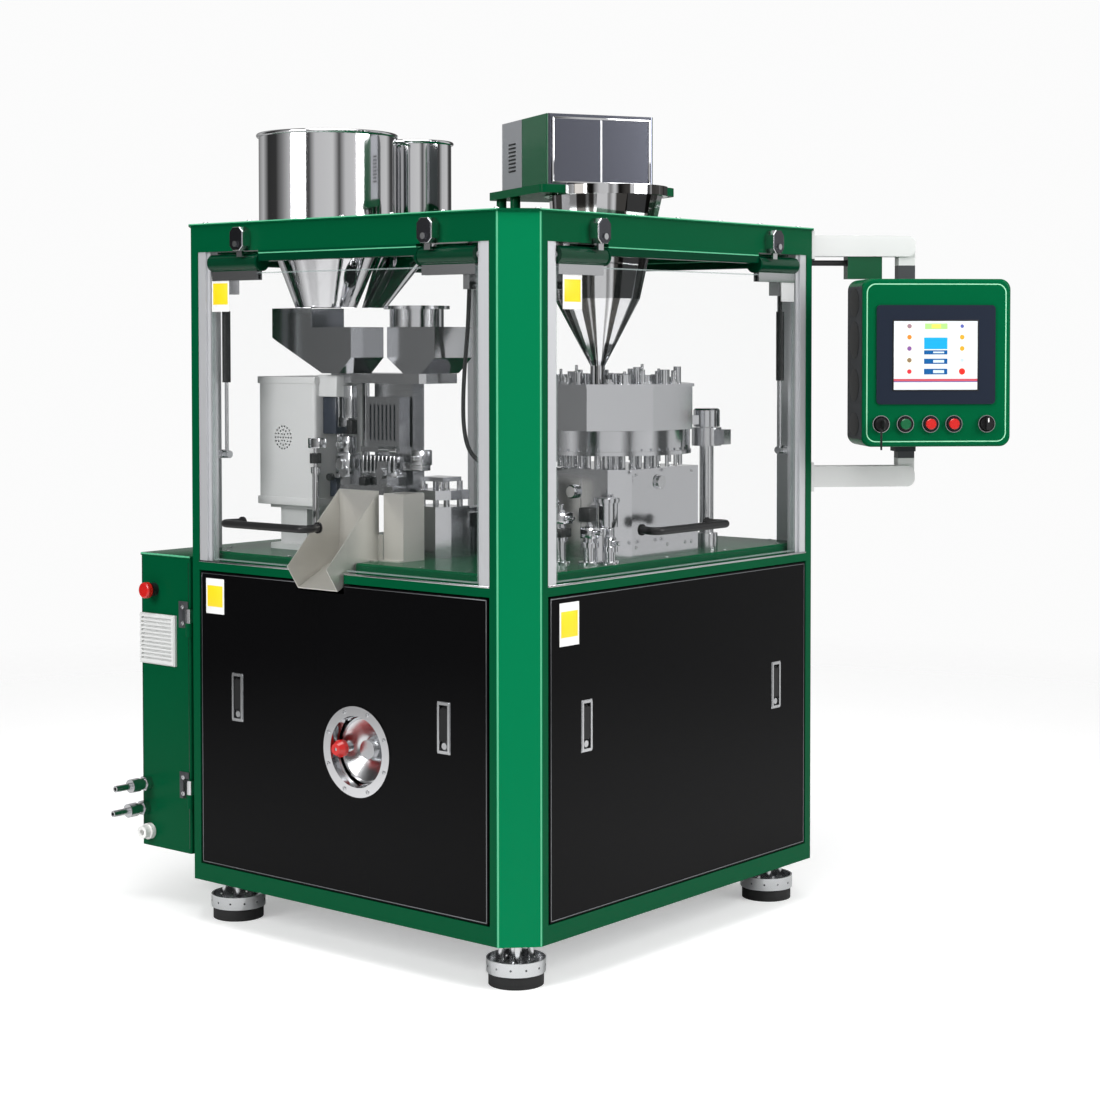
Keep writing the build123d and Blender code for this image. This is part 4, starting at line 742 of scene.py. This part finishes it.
# %% Rows of screws
DECK_TOP = box_mm("deck_plate")[1].z
TABLE_TOP = box_mm("table_top")[1].z
POST = 89.0
deck_screws, table_screws = [], []
for face, half in SIDES.values():
    for k in range(7):
        deck_screws.append(screw(6.5, face.at((half - POST) * (k / 3 - 1), -26, DECK_TOP), UP))
    for k in range(5):
        table_screws.append(screw(4.5, face.at((half - POST - 40) * (k / 2 - 1), -56, TABLE_TOP - 1), UP))
piece("deck_screws", "frame", satin, "steel", *deck_screws)
piece("table_screws", "frame", satin, "steel", *table_screws)
print("screws", len(deck_screws) + len(table_screws))

# %% [markdown]
# A thin bead frames each black cover, and a bright strip runs along the table's edge. They are thin, but the eye
# reads the machine's outline from them. At the front both stop where the chute passes.

# %% Beads and strips
COVER_LOW, COVER_HIGH = 152.0, 848.0
COVER_EDGE = 97.0
BEAD, BEAD_PROUD = 1.8, (0, 0.9)
CHUTE_GAP = (-117.0, 27.0)
TABLE_LEVEL = 875.0


def spans_past_chute(reach, has_chute):
    """The level stretches of a side, left and right of the chute where there is one."""
    return ((-reach, CHUTE_GAP[0]), (CHUTE_GAP[1], reach)) if has_chute else ((-reach, reach),)


def bead_runs(face, half, has_chute=False):
    reach = half - COVER_EDGE
    runs = [face.slab((-reach, reach), BEAD_PROUD, (COVER_LOW, COVER_LOW + BEAD), 0.3)]
    for sign in (-1, 1):
        upright = sorted((sign * reach, sign * (reach - BEAD)))
        runs.append(face.slab(upright, BEAD_PROUD, (COVER_LOW, COVER_HIGH), 0.3))
    for span in spans_past_chute(reach, has_chute):
        runs.append(face.slab(span, BEAD_PROUD, (COVER_HIGH - BEAD, COVER_HIGH), 0.3))
    return runs


bead_steel = finish("bead_steel", BEAD_STEEL)
piece("front_cover_bead", "front_panel", bead_steel, "strip", *bead_runs(FRONT, HALF_W, has_chute=True))
piece("side_cover_bead", "side_panel", bead_steel, "strip", *bead_runs(SIDE, HALF_D))
piece("fixed_cover_beads", "frame", bead_steel, "strip", *bead_runs(REAR, HALF_W), *bead_runs(LEFT, HALF_D))
strips = []
for name, (face, half) in SIDES.items():
    for span in spans_past_chute(half - POST, name == "front"):
        strips.append(face.slab(span, (-3, 0.8), (TABLE_LEVEL - 1.5, TABLE_LEVEL + 2.5), 0.4))
piece("table_edge_strips", "frame", satin, "strip", *strips)
print("strips", len(strips))

# %% [markdown]
# Four plates stand where the machine carries its notices. They are white with a plain yellow field and no words.

# %% Bare plates
white = finish("white_plate", WHITE)
yellow = finish("yellow_field", YELLOW)
GLASS_FACE = -10.0
plates = {
    "front_glass_plate": (FRONT, "front_door", (-422, -361), GLASS_FACE, (1471, 1555)),
    "side_glass_plate": (SIDE, "side_door", (-441, -375), GLASS_FACE, (1469, 1550)),
    "front_cover_plate": (FRONT, "front_panel", (-437, -374), 0.0, (752, 836)),
    "side_cover_plate": (SIDE, "side_panel", (-465, -398), 0.0, (742, 836)),
}
for name, (face, body, u, v, z) in plates.items():
    rise = z[1] - z[0]
    piece(name, body, white, "strip", face.slab(u, (v, v + 0.6), z, 0.2))
    field = face.slab((u[0] + 5, u[1] - 5), (v + 0.6, v + 0.9), (z[0] + rise * 0.2, z[1] - rise * 0.2), 0.1)
    piece(name + "_field", body, yellow, "strip", field)
print("plates", len(plates))

# %% [markdown]
# The screen shows a plain menu: coloured fields and dots on a pale ground, with no words. They are boxes and discs
# in its material, whose places run from 0 to 1 across and down the screen.

# %% Screen
panel_out = Vector((DIAGONAL, -DIAGONAL, 0))
panel_along = Vector((DIAGONAL, DIAGONAL, 0))
panel_middle = panel_along * PANEL_AXIS[0] + panel_out * PANEL_AXIS[1]
PANEL = Face(panel_middle + panel_out * PANEL_FACE, panel_along, panel_out)
SCREEN_U = (-71.6, 136.8)
SCREEN_Z = (1281.5, 1449.0)
SCREEN_WIDE, SCREEN_TALL = SCREEN_U[1] - SCREEN_U[0], SCREEN_Z[1] - SCREEN_Z[0]
BEZEL_PROUD = 4.0
LIP = 3
LEFT_ROW, MIDDLE_ROW, RIGHT_ROW = (0.02, 0.34), (0.36, 0.64), (0.66, 0.98)
# Each column of dots is its place across, and for every dot its place down, its size and its paint.
DOT_COLUMNS = (
    (0.185, ((0.075, 0.027, (150, 120, 130)), (0.235, 0.027, (226, 128, 44)), (0.4, 0.027, (130, 84, 150)),
             (0.57, 0.027, (140, 116, 84)), (0.735, 0.027, (214, 48, 64)))),
    (0.815, ((0.075, 0.022, (84, 96, 170)), (0.235, 0.028, (240, 158, 40)), (0.4, 0.028, (232, 160, 40)),
             (0.57, 0.022, (186, 204, 226)), (0.735, 0.038, (228, 44, 36)))))


def screen_fields():
    """The fields in the order they are laid: left, right, top and bottom from 0 to 1, and a paint."""
    fields = [(*LEFT_ROW, 0.03, 0.82, (240, 238, 222)), (*RIGHT_ROW, 0.03, 0.82, (240, 238, 228))]
    for level in (0.17, 0.33, 0.5, 0.66):
        fields += [(*row, level, level + 0.006, (210, 212, 208)) for row in (LEFT_ROW, RIGHT_ROW)]
    fields += [(0.37, 0.64, 0.035, 0.12, (168, 214, 128)), (0.45, 0.56, 0.05, 0.105, (236, 226, 96)),
               (*MIDDLE_ROW, 0.24, 0.41, (22, 160, 222))]
    for level, height in ((0.425, 0.062), (0.547, 0.078), (0.694, 0.084)):
        fields += [(*MIDDLE_ROW, level, level + height, (16, 86, 146)),
                   (0.47, 0.6, level + 0.02, level + height - 0.02, (206, 222, 236))]
    return fields + [(0.0, 1.0, 0.84, 0.875, (196, 84, 96)), (0.0, 1.0, 0.875, 0.89, (110, 96, 150))]


def screen_finish():
    recipe = recipe_named("lit_screen")
    across = (recipe.place(45) - (PANEL_AXIS[0] + SCREEN_U[0])) * (1 / SCREEN_WIDE)
    down = (SCREEN_Z[1] - recipe.place("z")) * (1 / SCREEN_TALL)
    colour = paint_mix(222, 227, 230)

    for x0, x1, y0, y1, paint in screen_fields():
        wide = recipe.maths("COMPARE", across, (x0 + x1) / 2, (x1 - x0) / 2)
        high = recipe.maths("COMPARE", down, (y0 + y1) / 2, (y1 - y0) / 2)
        colour = recipe.blend(wide * high, colour, paint_mix(*paint))
    for x, dots in DOT_COLUMNS:
        for y, size, paint in dots:
            dx = across - x
            dy = (down - y) * (SCREEN_TALL / SCREEN_WIDE)
            near = recipe.maths("LESS_THAN", dx * dx + dy * dy, size * size)
            colour = recipe.blend(near, colour, paint_mix(*paint))
    recipe.shade({"Base Color": colour, "Emission Color": colour, "Emission Strength": 0.1, "Roughness": 0.15})
    return recipe.owner


screen = PANEL.slab(SCREEN_U, (BEZEL_PROUD, BEZEL_PROUD + 0.6), SCREEN_Z)
piece("screen", "control_panel", screen_finish(), "black_gloss", screen)
outer = (SCREEN_U[0] - LIP, SCREEN_U[1] + LIP)
lip_places = (((outer[0], SCREEN_U[0]), SCREEN_Z), ((SCREEN_U[1], outer[1]), SCREEN_Z),
              (outer, (SCREEN_Z[0] - LIP, SCREEN_Z[0])), (outer, (SCREEN_Z[1], SCREEN_Z[1] + LIP)))
lip = [PANEL.slab(u, (BEZEL_PROUD, BEZEL_PROUD + 1.2), z, 0.4) for u, z in lip_places]
piece("screen_lip", "control_panel", black_plastic, "black_matte", *lip)
print("screen done")

# %% [markdown]
# Each switch stands in a steel ring, and the three buttons have a black cuff as well. The panel's side carries four
# oval covers: turned discs that are stretched and stood on edge.

# %% Switches and side covers
CONTROL_ROW = 1198.0
SWITCHES = (-103.0, -43.0, 20.0, 78.0, 160.0)
KEY, SELECTOR = SWITCHES[0], SWITCHES[4]
rings = [ring(21.3, 19.6, 7.8, PANEL.at(u, 0.2, CONTROL_ROW), panel_out) for u in SWITCHES]
piece("switch_rings", "control_panel", satin, "steel", *rings)
cuffs = [ring(16.6, 13.2, 9.5, PANEL.at(u, 0.2, CONTROL_ROW), panel_out) for u in SWITCHES[1:4]]
piece("button_cuffs", "control_panel", black_plastic, "black_matte", *cuffs)
mark = PANEL.slab((SELECTOR - 1.4, SELECTOR + 1.4), (24, 24.6), (CONTROL_ROW + 4, CONTROL_ROW + 14), 0.2)
piece("selector_mark", "selector_switch", white, "black_matte", mark)
strap = PANEL.slab((KEY - 9, KEY - 4), (34, 36), (CONTROL_ROW - 62, CONTROL_ROW - 8), 0.8)
piece("key_strap", "key_switch", black_plastic, "black_matte", strap)
side_ovals = []
for level, rise in ((1495, 34), (1403, 46), (1292, 40), (1196, 28)):
    oval = pin(1.0, 0.8, (0, 0, 0), UP, 32, 0.2)
    bmesh.ops.scale(oval, vec=(48, rise, 1), verts=oval.verts)
    turn = Matrix((panel_out, Vector(UP), -PANEL.along)).transposed().to_4x4()
    middle = panel_middle + PANEL.along * PANEL_LEFT + panel_out * 102 + Vector((0, 0, level))
    bmesh.ops.transform(oval, matrix=Matrix.Translation(middle) @ turn, verts=oval.verts)
    side_ovals.append(oval)
piece("panel_side_covers", "control_panel", black_plastic, "black_matte", *side_ovals)
print("switches", len(SWITCHES))

# %% [markdown]
# The handwheel's port is a polished flange held by eight screws on one circle.

# %% Handwheel port
SCREW_CIRCLE = 94
port_low, port_high = box_mm("handwheel_port")
port_middle = Vector(((port_low.x + port_high.x) / 2, port_low.y, (port_low.z + port_high.z) / 2))
port_screws = []
for k in range(8):
    turn = math.radians(45 * k + 22.5)
    offset = Vector((math.cos(turn), 0, math.sin(turn))) * SCREW_CIRCLE
    port_screws.append(screw(4.6, port_middle + offset + Vector((0, 0.4, 0)), TO_FRONT))
piece("port_screws", "front_panel", satin, "steel", *port_screws)
print("port screws", len(port_screws))

# %% [markdown]
# The louvred filter, the hose couplings and the gland of the electrical box are in the CAD. Added are the seams of
# its door, the lid with a painted highlight along its front edge, and the dark plates that its two hinges are
# screwed to.

# %% Electrical box
box_low, box_high = box_mm("electrical_box")
BOX_FRONT = -527.0
HINGE_LEVELS = (307.0, 729.0)
BOX = Face((0, BOX_FRONT, 0), TO_SIDE, TO_FRONT)
seams = [BOX.slab((u - 1, u + 1), (-0.2, 0.5), (box_low.z + 12, box_high.z - 12), 0.2)
         for u in (box_low.x + 6, -576.0)]
piece("box_seams", "electrical_box", finish("dark_green_enamel", DARK_GREEN), "green_paint", *seams)
lid = slab((box_low.x, BOX_FRONT - 1.5, box_high.z - 3), (-570, box_high.y, box_high.z + 4), 1.2)
# A painted highlight along the lid's front edge.
lid_edge_highlight = ({"y": (BOX_FRONT - 2, BOX_FRONT + 1), "z": (box_high.z, box_high.z + 5)}, HIGHLIGHT_GREEN)
piece("box_lid", "electrical_box", finish("lid_enamel", GREEN, lid_edge_highlight, gloss=GREEN_GLOSS), "green_paint", lid)
hinge_plates, hinge_screws = [], []
for level in HINGE_LEVELS:
    hinge_plates.append(BOX.slab((-610, -576), (0.1, 3), (level - 33, level + 33), 0.8))
    hinge_screws += [BOX.screw(6, -594, 3, level + rise) for rise in (-20, 20)]
piece("box_hinge_plates", "electrical_box", finish("hinge_plate", CHARCOAL), "black_matte", *hinge_plates)
piece("box_hinge_screws", "electrical_box", satin, "steel", *hinge_screws)
print("box done")

# %% [markdown]
# Inside the guards stands the machinery. The CAD gives its bodies, and the next pieces give it the clutter of a real
# machine. On the lifting head that is a crown of pins with nuts, whose sizes come round in turn so that no two
# neighbours look alike.

# %% Dosing station
HEAD_TOP = 1301.0
DOSING = Vector((308.0, 22.0, 0.0))
BAR_COUNT, BAR_CIRCLE = 26, 168


def round_dosing(turn, reach, level):
    """A place round the dosing station's axis."""
    return DOSING + Vector((math.cos(turn) * reach, math.sin(turn) * reach, level))


def nut(radius, height, at):
    """A six-sided nut, or the foot of a pin."""
    return turned([(0, 0), (radius, 0), (radius, height), (0, height)], at, steps=6)


crown = []
for k in range(24):
    reach = (172, 138, 152, 120)[k % 4]
    size = (9, 13, 7, 15)[k % 4]
    tall = (12, 20, 30, 15)[(k * 3) % 4]
    base = round_dosing(math.radians(15 * k + 7), reach, HEAD_TOP)
    crown += [pin(size, tall, base), nut(size + 3, 4, base)]
    if k % 3 == 0:
        crown.append(pin(3.5, tall + 14, base))
piece("head_pins", "tamping_head", satin, "steel", *crown)
HOUSING = Face((box_mm("dosing_housing")[1].x, 0, 0), (0, 1, 0), TO_SIDE)
door_screws = [HOUSING.screw(4, u, 0, 930) for u in (-130, -10, 60, 84)]
door_screws += [HOUSING.screw(4, u, 0, 1095) for u in (-130, 84)]
piece("housing_screws", "frame", satin, "steel", *door_screws)
window_bars = [pin(4.5, 36, round_dosing(math.radians(360 / BAR_COUNT * k), BAR_CIRCLE, 1108.0), steps=10)
               for k in range(BAR_COUNT)]
piece("window_bars", "frame", satin, "steel", *window_bars)
knob_place = HOUSING.at(-49, 0, 1076)
piece("housing_knob", "frame", satin, "steel",
      pin(15, 15, knob_place, TO_SIDE), ring(18, 15, 4, knob_place, TO_SIDE))
print("dosing details done")

# %% [markdown]
# The feeding station sorts the capsules: a rack of thin fins under the slotted magazine, two adjusting blocks with
# knobs, and a chromed rod that lifts the magazine. It is all slabs and pins, so tables of their places say more
# than one call each.

# %% Feeding station
RACK_SLABS = (
    ((-122, -386, 1082), (-6, -352, 1094), 1.5),
    ((-190, -404, 1086), (-142, -366, 1136), 3),
    ((-186, -398, 1136), (-150, -370, 1176), 3),
    ((8, -380, 1100), (70, -350, 1118), 2),
    ((36, -384, 1112), (72, -346, 1148), 3),
    ((-218, -398, 1196), (-184, -362, 1302), 3),
    ((-178, -392, 1218), (-146, -372, 1296), 2),
)
RACK_PINS = (
    (13, 9, (-168, -404, 1110), TO_FRONT),
    (7, 14, (-168, -404, 1156), TO_FRONT),
    (6, 12, (54, -384, 1130), TO_FRONT),
    (5, 60, (-60, -386, 1148), TO_SIDE),
    (9, 22, (-22, -386, 1146), TO_SIDE),
)
fins = [slab((x, -392, 1092), (x + 5, -360, 1132), 0.8) for x in (-112.0 + 12.5 * k for k in range(9))]
piece("feeding_rack", "frame", satin, "steel", *fins,
      *[slab(*place) for place in RACK_SLABS], *[pin(*place) for place in RACK_PINS])
rod_x, rod_y = -221.0, -438.0
lift_rod = [pin(8, 196, (rod_x, rod_y, TABLE_TOP)), pin(12, 16, (rod_x, rod_y, TABLE_TOP + 190)),
            pin(5, 60, (rod_x, rod_y, TABLE_TOP + 200)),
            slab((rod_x - 16, rod_y - 10, TABLE_TOP + 250), (rod_x + 22, rod_y + 16, TABLE_TOP + 274), 2),
            slab((rod_x - 14, rod_y - 14, TABLE_TOP), (rod_x + 14, rod_y + 14, TABLE_TOP + 16), 2)]
piece("lift_rod", "frame", mirror, "steel", *lift_rod)
knobs = [pin(14, 24, (rod_x, rod_y, TABLE_TOP + 214)), pin(9, 12, (-196, -408, 1078), TO_FRONT),
         slab((-160, -396, 1180), (-142, -376, 1214), 2), slab((-118, -398, 1060), (-96, -380, 1080), 2)]
piece("feeding_knobs", "frame", black_plastic, "black_matte", *knobs)
print("fins", len(fins))

# %% [markdown]
# The feed box has a folded band at its top and foot, and a dark drive unit on its near side.

# %% Feed box
FEED_TOP = 1313.0
FEED_FOOT = 1009.0
bands = [slab((-428, -432, FEED_TOP - 14), (-230, -248, FEED_TOP + 3), 1.5),
         slab((-428, -432, FEED_FOOT - 3), (-230, -248, FEED_FOOT + 16), 1.5),
         slab((-236, -416, FEED_TOP - 44), (-172, -330, FEED_TOP + 8), 2)]
piece("feed_box_bands", "frame", grey, "grey_paint", *bands)
dark_side = [slab((-230, -404, 1180), (-186, -340, 1268), 2), slab((-214, -398, 1030), (-190, -372, 1076), 2)]
piece("feed_box_drive", "frame", finish("dark_drive", SLATE), "black_matte", *dark_side)
print("bands", len(bands))

# %% [markdown]
# Between the turret and the dosing station stand small stations that empty, reject and close. Each is a post with
# a collar, a block head and a nut.

# %% Small stations
# Each row is x, y, the post's height, the foot's radius and half the width of the head.
STATIONS = ((400, -276, 118, 20, 22), (448, -232, 84, 26, 18), (342, -258, 150, 16, 20), (478, -196, 60, 22, 12),
            (262, -262, 96, 20, 26))


def station(x, y, tall, width, head):
    top = TABLE_TOP + tall
    return [
        pin(width, 6, (x, y, TABLE_TOP)),
        pin(width * 0.55, tall, (x, y, TABLE_TOP)),
        pin(width * 0.8, 12, (x, y, TABLE_TOP + tall * 0.45)),
        slab((x - head, y - head * 0.8, top - 26), (x + head, y + head * 0.8, top), 3),
        pin(6, 18, (x, y, top)),
        nut(9, 5, (x, y, top)),
        pin(5, 16, (x + head, y, top - 13), TO_SIDE),
    ]


piece("small_stations", "frame", steel, "steel", *[shape for row in STATIONS for shape in station(*row)])
dark_blocks = [slab((374, -300, TABLE_TOP + 62), (420, -262, TABLE_TOP + 82), 2),
               slab((430, -250, TABLE_TOP + 96), (462, -224, TABLE_TOP + 128), 2),
               slab((300, -282, TABLE_TOP + 116), (332, -256, TABLE_TOP + 140), 2)]
piece("station_blocks", "frame", black_plastic, "black_matte", *dark_blocks)
pots = [pin(26, 58, (452, -176, 978)), pin(30, 10, (452, -176, 1034)), pin(34, 80, (440, -186, TABLE_TOP))]
piece("suction_pots", "frame", steel, "steel", *pots)
print("stations", len(STATIONS))

# %% [markdown]
# On the right-hand post hang the door switch's bracket and the catch plates that the doors close against.

# %% Door switch and catches
switch = [SIDE.slab((405, 462), (-12, -9), (1497, 1563), 1), SIDE.slab((414, 452), (-24, -12), (1512, 1548), 3)]
piece("door_switch", "frame", grey, "grey_paint", *switch)
catches = []
for face, half in ((FRONT, HALF_W), (SIDE, HALF_D)):
    edge = half - POST
    for sign in (-1, 1):
        u = sorted((sign * (edge - 2), sign * (edge - 34)))
        catches.append(face.slab(u, (-33, -30), (930, 982), 1))
        catches += [face.screw(3.5, sum(u) / 2, -30, level) for level in (946, 966)]
piece("catch_plates", "frame", satin, "steel", *catches)
print("catches done")

# %% [markdown]
# The powder feeder stands turned on its plate. Its near side has a small louvre, and its bright face a folded rim.

# %% Powder feeder trim
feeder_place = Matrix.Translation((328, -236, 0)) @ Matrix.Rotation(math.radians(FEEDER_TURN), 4, "Z")
FEEDER_TOP = 1920.0
FEEDER_FOOT = 1757.0


def on_feeder(low, high, round_off):
    """A slab drawn on the feeder before it is turned: x to the front, y across its face."""
    shape = slab(low, high, round_off)
    bmesh.ops.transform(shape, matrix=feeder_place, verts=shape.verts)
    return shape


louvres = [on_feeder((-240, -1.2, level), (-196, 1, level + 4), 0.4)
           for level in (FEEDER_FOOT + 44 + 9 * k for k in range(8))]
piece("feeder_louvres", "frame", black_plastic, "black_matte", *louvres)
rims = [on_feeder((2, y, FEEDER_FOOT + 6), (5, y + 5, FEEDER_TOP - 8), 1) for y in (10, 252)]
rims += [on_feeder((2, 10, level), (5, 257, level + 5), 1) for level in (FEEDER_FOOT + 4, FEEDER_TOP - 12)]
piece("feeder_rim", "frame", mirror, "mirror_steel", *rims)
print("louvres", len(louvres))

# %% [markdown]
# The cable inside the guards leaves the deck, hangs in one lazy curve and runs to the dosing station's casing. It
# follows the same points as its CAD tube, as the control points of one smooth spline, so it never looks bent.

# %% Hanging cable
CABLE_RADIUS = 5.0
CABLE_POINTS = ((141, -292, 1675), (142, -292, 1590), (139, -293, 1500), (134, -292, 1426), (125, -292, 1350),
                (120, -293, 1270), (120, -292, 1200), (134, -291, 1146), (168, -284, 1116), (202, -262, 1104),
                (216, -220, 1098), (218, -160, 1096))
cable_curve = bpy.data.curves.new("inner_cable", "CURVE")
cable_curve.dimensions = "3D"
cable_curve.bevel_depth = CABLE_RADIUS * MM
cable_curve.bevel_resolution = 4
cable_curve.resolution_u = 12
cable_curve.use_fill_caps = True
line = cable_curve.splines.new("NURBS")
line.points.add(len(CABLE_POINTS) - 1)
for point, place in zip(line.points, CABLE_POINTS):
    point.co = (*(value * MM for value in place), 1)
line.order_u = 3
line.use_endpoint_u = True
cable = add_object("inner_cable", cable_curve)
cable_curve.materials.append(rubber)
straight = sum((Vector(b) - Vector(a)).length for a, b in zip(CABLE_POINTS, CABLE_POINTS[1:])) * MM
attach(cable, "frame")
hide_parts("hanging_cable")
tuple(value * MM for value in CABLE_POINTS[0])
print("cable runs", round(straight, 3))
